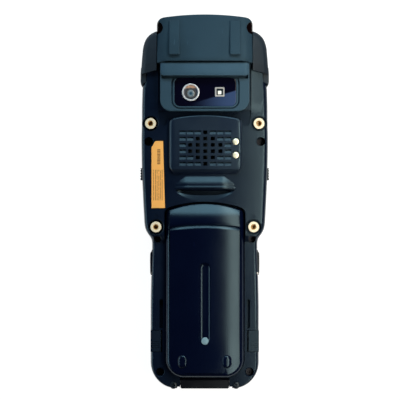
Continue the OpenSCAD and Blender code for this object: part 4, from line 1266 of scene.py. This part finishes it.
class TERMINAL_OT_fasteners(bpy.types.Operator):
    """Brass inserts, case screws, studs and hinge pins"""

    bl_idname = "terminal.fasteners"
    bl_label = "Fasteners"

    def execute(self, context):
        colours = context.scene.terminal_colours
        low = cad("grip_inserts")[0].z
        top = INSERT_TOP_Z
        bore = [(1.25 + 0.16 * (i % 2), top - 0.5 - i * 0.3) for i in range(14)]
        outside = [(0, low), (INSERT_R - 0.1, low), (INSERT_R - 0.1, top - 0.2), (INSERT_R - 0.28, top),
                   (1.85, top)]
        profile = outside + bore + [(1.2, low + 0.8), (0, low + 0.7)]
        inserts = turned("brass_inserts", profile, INSERTS, 64)
        polish(inserts, self.turned_brass(colours), angle=math.radians(25))
        fit(inserts, "housing", "insert_brass", "grip_inserts")
        finish_node("case_screws", machined("black_oxide", (0.030, 0.032, 0.040), 0.30))
        steel = machined("pin_steel", (0.55, 0.56, 0.58), 0.3)
        for node in ("lid_pins", "side_switches"):
            finish_node(node, steel)
        z = cad("end_studs")[0].z
        profile = [(0, z), (2.15, z), (2.15, 22.2), (1.95, 22.75), (1.4, 23.02), (0.95, 23.08), (0.8, 22.7),
                   (0, 22.6)]
        studs = turned("stud_caps", profile, [(side * STUD[0], STUD[1]) for side in (-1, 1)], 40)
        polish(studs, rubbery("stud_rubber", colours.rubber, 0.4))
        fit(studs, "housing", "bumper_rubber", "end_studs")
        return {"FINISHED"}

    def turned_brass(self, colours):
        g = Graph("turned_brass")
        at = g.place()
        x, y, _ = g.axes(at)
        # distance from the nearest insert, so that each one has its own turned rings
        upper, lower = (apart(abs(x), y, in_metres(place)) for place in INSERTS[2:])
        radius = g.node("ShaderNodeMath", {"operation": "MINIMUM"}, {0: upper, 1: lower})
        stain = g.band(g.noise(at, 900.0, 4.0, 0.7), 0.5, 0.8)
        body = g.blend(stain * 0.4, colours.brass, tone(colours.brass, 0.6))
        bore = 1.0 - g.band(radius, 0.00155, 0.00180)
        body = g.blend(bore, body, (0.52, 0.30, 0.10))
        return g.surface(Base_Color=body, Metallic=0.15, Roughness=0.32 + stain * 0.15,
                         Normal=g.bump(radius.waves(0.00016) * 0.5, 0.00001, 0.5))


class TERMINAL_OT_label(bpy.types.Operator):
    """Orange label plate"""

    bl_idname = "terminal.label"
    bl_label = "Label"

    def execute(self, context):
        colours = context.scene.terminal_colours
        levels = [(0, 26.2), (0, 26.62), (0.12, 26.7)]
        plate = slab("label_film", label_outline(), levels, lambda x, y, z: -back_fall(x))
        polish(plate, printed_label("label_print", colours.label))
        fit(plate, "housing", "label_orange", "label_plate")
        return {"FINISHED"}


class TERMINAL_OT_battery(bpy.types.Operator):
    """Battery case with its groove and feet, and what is inside it"""

    bl_idname = "terminal.battery"
    bl_label = "Battery"
    # depth along the middle of the pack's top end, from the seam down to the step
    top_end = ((-15.8, 31.0), (-15.3, 30.93), (-14.25, 30.41), (-14.1, 29.3), (-13.8, 29.15), (-13.2, 29.6),
               (-12.6, 30.05), (-12.0, 30.2), (-11.6, 30.18), (-11.2, 30.14), (-10.6, 30.04), (-10.0, 29.91),
               (-9.4, 29.75), (-8.8, 29.58), (-8.2, 29.38), (-7.6, 29.16), (-7.0, 28.92), (-6.4, 28.67),
               (-5.6, 28.31), (-4.4, 27.74), (-2.0, 26.57), (-0.8, 25.98), (3.0, 24.2))

    def execute(self, context):
        colours = context.scene.terminal_colours
        case = self.crowned_block()
        levels = [(0, PACK_LOW_Z), (0, 21)] + round_edge(100, 2.7, 7)[:-1] + [(2.72, 100.06), (2.72, 110)]
        combine(case, slab("trim", battery_outline(0.0, 14, 2.1), levels, self.follow, 200), "INTERSECT")
        combine(case, slab("trim", battery_outline(0.0, 14), [(0, 10), (0, 40)]), "INTERSECT")
        levels = [(2.5, 29.4), (1.6, 29.52), (0.7, 29.95), (0.0, 30.7), (-0.25, 31.1), (-0.35, 32.5)]
        cut(case, add_slab, rounded(6.7, 48.7, 3.35, -0.1, -59.75, 10), levels, self.groove_rise, 1.2)
        cut(case, add_slab, circle(2.3, *GROOVE_DISC), [(0, 29.2), (0, 33)])
        levels = [(0, -3), (0, 0.1), (0.3, 0.45), (0.9, 0.8), (1.6, 0.97), (2.2, 1.0)]
        for side in (-1, 1):
            join(case, add_slab, rounded(5.3, 7.7, 2.65, side * 13.1, -93.45, 8), levels,
                 lambda x, y, z: self.height(x, y))
        cut(case, add_box, -20.9, 20.9, -97, -15.5, PACK_LOW_Z + 1.4, 26.4)
        cut(case, self.terminal_windows)
        polish(case, moulded("battery_plastic_finish", colours.battery, 0.23, 0.0000012, 0.25, 0.33), 0.12)
        fit(case, "battery", "battery_plastic", "battery_case")
        # The pale disc is painted highlight: it stands for the light caught by the lower end of the groove.
        profile = [(0, 29.2), (2.2, 29.2), (2.2, 30.3), (2.0, 30.5), (1.2, 30.68), (0, 30.74)]
        disc = turned("groove_disc", profile, (GROOVE_DISC,), 48)
        polish(disc, moulded("groove_disc_painted_highlight", (0.17, 0.27, 0.33), 0.3))
        fit(disc, "battery", "battery_plastic", "battery_case")
        finish_node("battery_cells", moulded("cell_wrap", (0.05, 0.16, 0.28), 0.3))
        gold = machined("terminal_gold", colours.gold, 0.2)
        for node in ("battery_contacts", "battery_terminals"):
            finish_node(node, gold)
        return {"FINISHED"}

    def groove_rise(self, x, y, z):
        """The groove's floor rises towards the disc at its lower end."""
        return 0.46 * max(0.0, -79.6 - y) if z < 31 else 0.0

    def sag(self, x, s):
        """How far the lines across the pack's top end bow down at its sides."""
        bow = BATTERY_TOP_R - math.sqrt(BATTERY_TOP_R ** 2 - min(abs(x), 26.0) ** 2)
        share = 0.47 + 0.53 * (s + 14.7) / 13.7 if s > -14.7 else 0.47 * (s + 30) / 15.3
        return bow * max(0.0, min(1.0, share))

    def follow(self, x, y, z):
        """Brings the levels drawn round 100 down onto the crowned top."""
        return self.height(x, y) - 100 if 50 < z < 105 else 0.0

    def height(self, x, y):
        s = y
        for _ in range(8):
            s = y + self.sag(x, s)
        return self.depth_at(x, s)

    def depth_at(self, x, s):
        radius = 82.0
        crown = BATTERY_Z - (radius - math.sqrt(radius * radius - x * x))
        if s <= self.top_end[0][0]:
            return crown
        reach = 0.5 if s > -13.0 else 0.0
        end = sum(along(self.top_end, s + reach * step) for step in (-1, -0.5, 0, 0.5, 1)) / 5
        return min(crown, end - (BATTERY_Z - crown) * (1 - 0.55 * ease(s, -13.0, -2.0)))

    def crowned_block(self):
        stations = [-106 + i * 3.0 for i in range(30)] + [-16.5, -15.8, -15.3, -14.8, -14.25, -14.1, -13.8]
        stations += [-13.4 + i * 0.5 for i in range(29)] + [1.5, 3.0]
        columns = [25 - i * 50 / 44 for i in range(45)]
        rings = []
        for s in stations:
            top = [(x, s - self.sag(x, s), self.depth_at(x, s)) for x in columns]
            floor = [(x, s - self.sag(x, s), PACK_LOW_Z) for x in (columns[-1], columns[0])]
            rings.append(top + floor)
        rings.append([(x, stations[-1] + 1.0, z) for x, _, z in rings[-1]])
        return solid("battery_pack", add_rings, rings)

    def terminal_windows(self, bm):
        for i in range(5):
            x = (i - 2) * 4.0
            add_box(bm, x - 1.3, x + 1.3, -13.4, -6.6, 10, PACK_LOW_Z + 0.6)


class TERMINAL_OT_latches(bpy.types.Operator):
    """Battery latches and their springs"""

    bl_idname = "terminal.latches"
    bl_label = "Latches"

    def execute(self, context):
        colours = context.scene.terminal_colours
        plastic = moulded("latch_plastic_finish", tone(colours.shell, 0.9), 0.42)
        steel = machined("spring_steel", (0.6, 0.61, 0.63), 0.25)
        for side, name in SIDES:
            low, high = cad(name + "_latch")
            latch = boxes(name + "_latch_button",
                          beside(side, LATCH_IN, 32.0, low.y + 0.8, high.y - 0.8, 14.5, 22.45),
                          beside(side, LATCH_IN, LATCH_IN + 0.8, low.y, high.y, 14.5, 21.0),
                          beside(side, 24.4, LATCH_IN + 0.4, -85, -83, 16.2, 18.1))
            cut(latch, self.grips, side)
            seat = [(side * (LATCH_IN + reach), *LATCH_SPRING) for reach in (-1, 3)]
            cut(latch, add_rod, *seat, 1.8)
            polish(latch, plastic, 0.3, math.radians(20))
            fit(latch, name + "_latch", "latch_plastic", name + "_latch")
            finish_node(name + "_latch_spring", steel)
        return {"FINISHED"}

    def grips(self, bm, side):
        for i in range(4):
            y = -86.2 + i * 1.15
            add_box(bm, *beside(side, LATCH_IN + 1.2, 34, y, y + 0.5, 22.1, 24))
            add_box(bm, *beside(side, 31.4, 34, y, y + 0.5, 15.2, 22.0))


class TERMINAL_OT_lids(bpy.types.Operator):
    """Bottom lid and the two port lids"""

    bl_idname = "terminal.lids"
    bl_label = "Lids"

    def execute(self, context):
        colours = context.scene.terminal_colours
        rubber = rubbery("lid_rubber_finish", colours.lid, 0.40, 0.08)
        self.bottom(rubber)
        for side, name in SIDES:
            self.port(side, name, rubber)
        return {"FINISHED"}

    def bottom(self, rubber):
        hinge = (-105.6, 20.9)
        lid = boxes("bottom_flap", (-14.3, 14.3, -110, -108.4, 3.5, 22.5),
                    (-14.3, 14.3, -108.6, -105.6, 21.0, 22.5), (-9.5, 9.5, -108.5, -107.4, 6, 11))
        join(lid, add_rod, (-14.3, *hinge), (14.3, *hinge), 1.6, 40)
        cut(lid, add_rod, (-16, *hinge), (16, *hinge), 0.85)
        corner = [(13.5, -110.2), (14.6, -110.2), (14.6, -109.1)]
        for side in (-1, 1):
            cut(lid, add_slab, on_side(corner, side), [(0, 0), (0, 30)])
        cut(lid, add_slab, rounded(10, 1.0, 0.48, 0, -108.9), [(0, 22.1), (0, 24)])
        polish(lid, rubber, 0.4)
        fit(lid, "bottom_lid", "lid_rubber", "bottom_lid")

    def port(self, side, name, rubber):
        # the outer face bulges a little between its two ends
        outline = [(30.3, -42.0), (31.3, -43.15), (32.05, -42.6), (32.3, -41.4), (32.4, -35), (32.3, -30.4),
                   (32.0, -29.6), (31.5, -29.0), (31.4, -28.3), (31.0, -28.1), (30.3, -28.1)]
        levels = [(0.5, 5.0), (0.15, 5.2), (0, 5.6), (0, 19.6), (0.15, 20.0), (0.5, 20.2)]
        lid = slab(name + "_port_flap", on_side(outline, side), levels)
        hinge = (side * 30.9, -42)
        join(lid, add_rod, (*hinge, 5.0), (*hinge, 20.2), 1.28, 32)
        cut(lid, add_rod, (*hinge, 0), (*hinge, 30), 0.85)
        nail_slot = [(32.1, -39), (34, -39), (34, -31.5), (32.1, -31.5)]
        cut(lid, add_slab, on_side(nail_slot, side), [(0, 8.5), (0, 9.1)])
        polish(lid, rubber, 0.18)
        fit(lid, name + "_port_lid", "lid_rubber", name + "_port_lid")


class TERMINAL_OT_side_keys(bpy.types.Operator):
    """One ribbed key on each side"""

    bl_idname = "terminal.side_keys"
    bl_label = "Side keys"

    def execute(self, context):
        colours = context.scene.terminal_colours
        rubber = rubbery("side_key_finish", tone(colours.keys, 0.5), 0.5, 0.2)
        for side, name in SIDES:
            low, high = cad(name + "_side_key")
            outer = max(abs(low.x), abs(high.x))
            key = boxes(name + "_side_button", beside(side, 33.8, outer, 13.0, 20.1, 16, 22),
                        beside(side, 33.2, 34.1, low.y, high.y, low.z, high.z))
            cut(key, self.slots, side, outer)
            polish(key, rubber, 0.28)
            fit(key, name + "_side_key", "key_grey", name + "_side_key")
        return {"FINISHED"}

    def slots(self, bm, side, outer):
        """Four even slots across the key's face."""
        for i in range(4):
            y = 14.2 + 1.6 * i
            add_box(bm, *beside(side, outer - 0.35, outer + 2, y, 14.9 + 1.6 * i, 10, 30))


class TERMINAL_OT_keypad(bpy.types.Operator):
    """Scan, power, navigation and pad keys, with generic figures on the pad"""

    bl_idname = "terminal.keypad"
    bl_label = "Keypad"
    marks = {"clear": ((1.6, 0), (-1.4, 1.8), (-1.4, -1.8)), "enter": ((-1.6, 0), (1.4, -1.8), (1.4, 1.8))}

    def execute(self, context):
        colours = context.scene.terminal_colours
        grey = rubbery("pad_key_finish", colours.keys, 0.45, 0.15)
        orange = moulded("scan_key_finish", colours.scan_key, 0.35)
        red = moulded("power_key_finish", (0.42, 0.02, 0.015), 0.35)
        ink = moulded("key_ink", (0.80, 0.81, 0.80), 0.5)
        for name in PAD_KEYS:
            self.cap("key_" + name, grey, "key_grey", 2.2, 0.9)
            self.mark(name, ink)
        self.cap("scan_key", orange, "scan_orange", 5.4, 0.8)
        self.cap("power_key", red, "power_red", 4.19, 0.7)
        self.nav_cap(grey)
        for i in range(4):
            a = math.pi / 2 * i
            points = [(6.2, -0.9), (7.5, 0), (6.2, 0.9)]
            spun = [(x * math.cos(a) - y * math.sin(a), x * math.sin(a) + y * math.cos(a) + NAV_Y)
                    for x, y in points]
            arrow = slab("nav_arrow_%d" % (i + 1), spun, [(0, 0.16), (0, 0.6)])
            polish(arrow, ink)
            fit(arrow, "nav_key", "key_grey")
        return {"FINISHED"}

    def nav_cap(self, material):
        """The round navigation key, turned in one piece with its ring groove, flange and foot."""
        face = cad("nav_key")[0].z
        low, high = key_face("nav_key")
        rim = (high.x - low.x) / 2
        profile = [(0, face), (4.0, face), (4.0, 0.9), (4.6, 0.9), (4.6, face), (rim - 0.8, face),
                   (rim - 0.28, face + 0.18), (rim - 0.06, face + 0.5), (rim, face + 0.9), (rim, 3.3),
                   (rim + 0.9, 3.3), (rim + 0.9, 4.1), (1.3, 4.1), (1.3, 4.6), (0, 4.6)]
        cap = turned("nav_key_cap", profile, ((0, NAV_Y),), 72)
        polish(cap, material)
        fit(cap, "nav_key", "key_grey", "nav_key")

    def cap(self, node, material, slot, radius, edge):
        """A key cap with a pillow edge, standing on its flange."""
        low, high = cad(node)
        face = key_face(node)
        place = middle(low, high)
        face_size = (face[1].x - face[0].x, face[1].y - face[0].y)
        levels = [(edge, low.z), (edge * 0.35, low.z + 0.18), (edge * 0.08, low.z + 0.5), (0, low.z + 0.9),
                  (0, 3.35)]
        cap = slab(node + "_cap", rounded(*face_size, radius, *place, 8), levels)
        height = high.y - low.y
        flange = rounded(high.x - low.x, height, min(radius + 0.4, height / 2 - 0.01), *place, 8)
        join(cap, add_slab, flange, [(0, 3.3), (0, 4.1)])
        join(cap, add_rod, (*place, 4.0), (*place, 4.6), 1.3)
        polish(cap, material)
        fit(cap, node, slot, node)

    def mark(self, name, ink):
        low, high = cad("key_" + name)
        cx, cy = middle(low, high)
        if name in self.marks:
            outline = [(cx + x, cy + y) for x, y in self.marks[name]]
            made = slab("mark_" + name, outline, [(0, low.z - 0.04), (0, low.z + 0.3)])
        else:
            made = self.figure(name, cx, cy, low.z)
        polish(made, ink)
        fit(made, "key_" + name, "key_grey")

    def figure(self, name, cx, cy, face):
        """A raised figure that reads from the front, so it is turned about the long axis."""
        curve = bpy.data.curves.new("figure", "FONT")
        curve.body = name
        curve.size, curve.extrude = 5.2, 0.15
        curve.align_x, curve.align_y = "CENTER", "CENTER"
        drawn = bpy.data.objects.new("figure", curve)
        bpy.context.scene.collection.objects.link(drawn)
        bpy.context.view_layer.update()
        mesh = bpy.data.meshes.new_from_object(drawn.evaluated_get(bpy.context.evaluated_depsgraph_get()))
        bpy.data.objects.remove(drawn)
        bm = bmesh.new()
        bm.from_mesh(mesh)
        for vertex in bm.verts:
            x, y, z = vertex.co
            vertex.co = (cx - x, cy + y, face - z + 0.11)
        return new_object("figure_" + name, bm)


class TERMINAL_OT_display(bpy.types.Operator):
    """Display window and panel"""

    bl_idname = "terminal.display"
    bl_label = "Display"

    def execute(self, context):
        low, high = cad("display_window")
        g = Graph("display_glass_finish")
        at = g.place()
        x, y, _ = g.axes(at)
        middle_y = middle(low, high)[1]
        border = g.node("ShaderNodeMath", {"operation": "MAXIMUM"},
                        {0: g.band(abs(x), 0.0262, 0.0264), 1: g.band(abs(y - middle_y * MM), 0.0352, 0.0354)})
        smears = g.band(g.noise(g.stretch(at, (1.0, 0.5, 1.0)), 60.0, 5.0, 0.6), 0.45, 0.8)
        body = g.blend(border, (0.020, 0.026, 0.030), (0.003, 0.003, 0.004))
        glass = slab("display_glass_sheet", rounded(60, high.y - low.y, 3, 0, middle_y, 8),
                     [(0.35, low.z), (0.1, low.z + 0.12), (0, low.z + 0.35), (0, high.z)])
        polish(glass, g.surface(Base_Color=body, Roughness=smears * 0.12 + 0.04, Coat_Weight=1.0,
                                Coat_Roughness=0.03))
        fit(glass, "housing", "display_glass", "display_window")
        finish_node("display_panel", polished("display_panel_finish", (0.02, 0.025, 0.03), 0.2))
        return {"FINISHED"}


class TERMINAL_OT_inner_parts(bpy.types.Operator):
    """Finishes of the parts inside the housings"""

    bl_idname = "terminal.inner_parts"
    bl_label = "Inner parts"

    def execute(self, context):
        colours = context.scene.terminal_colours
        black = moulded("inner_black_finish", (0.02, 0.02, 0.022), 0.5)
        for node in ("scan_engine", "dock_connector", "headset_jack"):
            finish_node(node, black)
        steel = machined("socket_steel", (0.6, 0.61, 0.63), 0.3)
        for node in ("usb_socket", "key_domes"):
            finish_node(node, steel)
        finish_node("main_board", circuit("board_finish", (0.012, 0.09, 0.035)))
        finish_node("keypad_membrane", rubbery("membrane_finish", colours.rubber))
        return {"FINISHED"}


class TERMINAL_OT_stage(bpy.types.Operator):
    """Floor, lights and camera"""

    bl_idname = "terminal.stage"
    bl_label = "Stage"

    def execute(self, context):
        stage = context.scene.terminal_stage
        context.scene.view_settings.view_transform = "Standard"
        self.floor()
        self.world(context.scene, stage)
        self.lights(context.scene, stage)
        self.camera(context.scene, stage)
        return {"FINISHED"}

    def floor(self):
        reach = 2500.0
        floor = solid("floor", add_box, -reach, reach, -reach, reach, -4.0, 0.0)
        g = Graph("pale_floor")
        matt = g.node("ShaderNodeBsdfDiffuse", None, {"Color": (0.86, 0.86, 0.86)})
        white = g.node("ShaderNodeEmission", None, {"Color": (1.0, 1.0, 1.0), "Strength": 1.3})
        seen, glossy, through = (g.node("ShaderNodeLightPath", None, None, "Is %s Ray" % kind)
                                 for kind in ("Camera", "Glossy", "Transmission"))
        shown = (seen + glossy + through).clamp() * 0.72
        floor.data.materials.append(g.show(g.node("ShaderNodeMixShader", None, {0: shown, 1: matt, 2: white})))

    def world(self, scene, stage):
        g = Graph("studio", "World")
        light = g.node("ShaderNodeBackground", None, {"Color": (0.80, 0.90, 1.0), "Strength": stage.world})
        white = g.node("ShaderNodeBackground", None, {"Color": (1.0, 1.0, 1.0)})
        seen = g.node("ShaderNodeLightPath", None, None, "Is Camera Ray")
        scene.world = g.show(g.node("ShaderNodeMixShader", None, {0: seen, 1: light, 2: white}))

    def lights(self, scene, stage):
        self.lamp(scene, "head_light", stage.head_light, (0.03, 0.88, 0.70), (1.2, 0.3), (0.68, 0.92, 1.0))
        self.lamp(scene, "side_light", stage.side_light, (0.065, 0.0, 0.125), (0.36, 0.03), (1.0, 0.91, 0.76))
        self.lamp(scene, "fill_light", stage.fill_light, (-0.45, 0.0, 0.17), (0.5, 0.06), (0.72, 0.90, 1.0))

    def lamp(self, scene, name, power, place, size, tint):
        data = bpy.data.lights.new(name, "AREA")
        data.shape = "RECTANGLE"
        data.size, data.size_y = size
        data.energy = power
        data.color = tint
        lamp = bpy.data.objects.new(name, data)
        lamp.location = place
        lamp.visible_camera = False
        lamp.rotation_euler = (Vector((0.0, 0.0, 0.03)) - Vector(place)).to_track_quat("-Z", "Y").to_euler()
        scene.collection.objects.link(lamp)

    def camera(self, scene, stage):
        data = bpy.data.cameras.new("camera")
        data.sensor_width = 36.0
        data.lens = data.sensor_width * stage.distance / stage.view_width
        data.clip_start = 0.01
        camera = bpy.data.objects.new("camera", data)
        camera.location = (stage.aim_x, stage.aim_y, stage.distance + 0.02)
        camera.rotation_euler = (0.0, 0.0, 0.0)
        scene.collection.objects.link(camera)
        scene.camera = camera


class TERMINAL_PT_panel(bpy.types.Panel):
    """Builds the terminal piece by piece"""

    bl_idname = "TERMINAL_PT_panel"
    bl_label = "Data terminal"
    bl_space_type = "VIEW_3D"
    bl_region_type = "UI"
    bl_category = "Terminal"

    def draw(self, context):
        column = self.layout.column()
        for step in STEPS:
            column.operator(step.bl_idname)


STEPS = (TERMINAL_OT_stage, TERMINAL_OT_housings, TERMINAL_OT_head, TERMINAL_OT_camera, TERMINAL_OT_grille,
         TERMINAL_OT_fasteners, TERMINAL_OT_label, TERMINAL_OT_battery, TERMINAL_OT_latches, TERMINAL_OT_lids,
         TERMINAL_OT_side_keys, TERMINAL_OT_keypad, TERMINAL_OT_display, TERMINAL_OT_inner_parts)
CLASSES = (TerminalSizes, TerminalColours, TerminalStage, *STEPS, TERMINAL_PT_panel)


def register():
    for each in CLASSES:
        bpy.utils.register_class(each)
    bpy.types.Scene.terminal_sizes = PointerProperty(type=TerminalSizes)
    bpy.types.Scene.terminal_colours = PointerProperty(type=TerminalColours)
    bpy.types.Scene.terminal_stage = PointerProperty(type=TerminalStage)


def unregister():
    del bpy.types.Scene.terminal_sizes
    del bpy.types.Scene.terminal_colours
    del bpy.types.Scene.terminal_stage
    for each in reversed(CLASSES):
        bpy.utils.unregister_class(each)


def main():
    register()
    for step in STEPS:
        group, name = step.bl_idname.split(".")
        getattr(getattr(bpy.ops, group), name)()


if __name__ == "__main__":
    main()
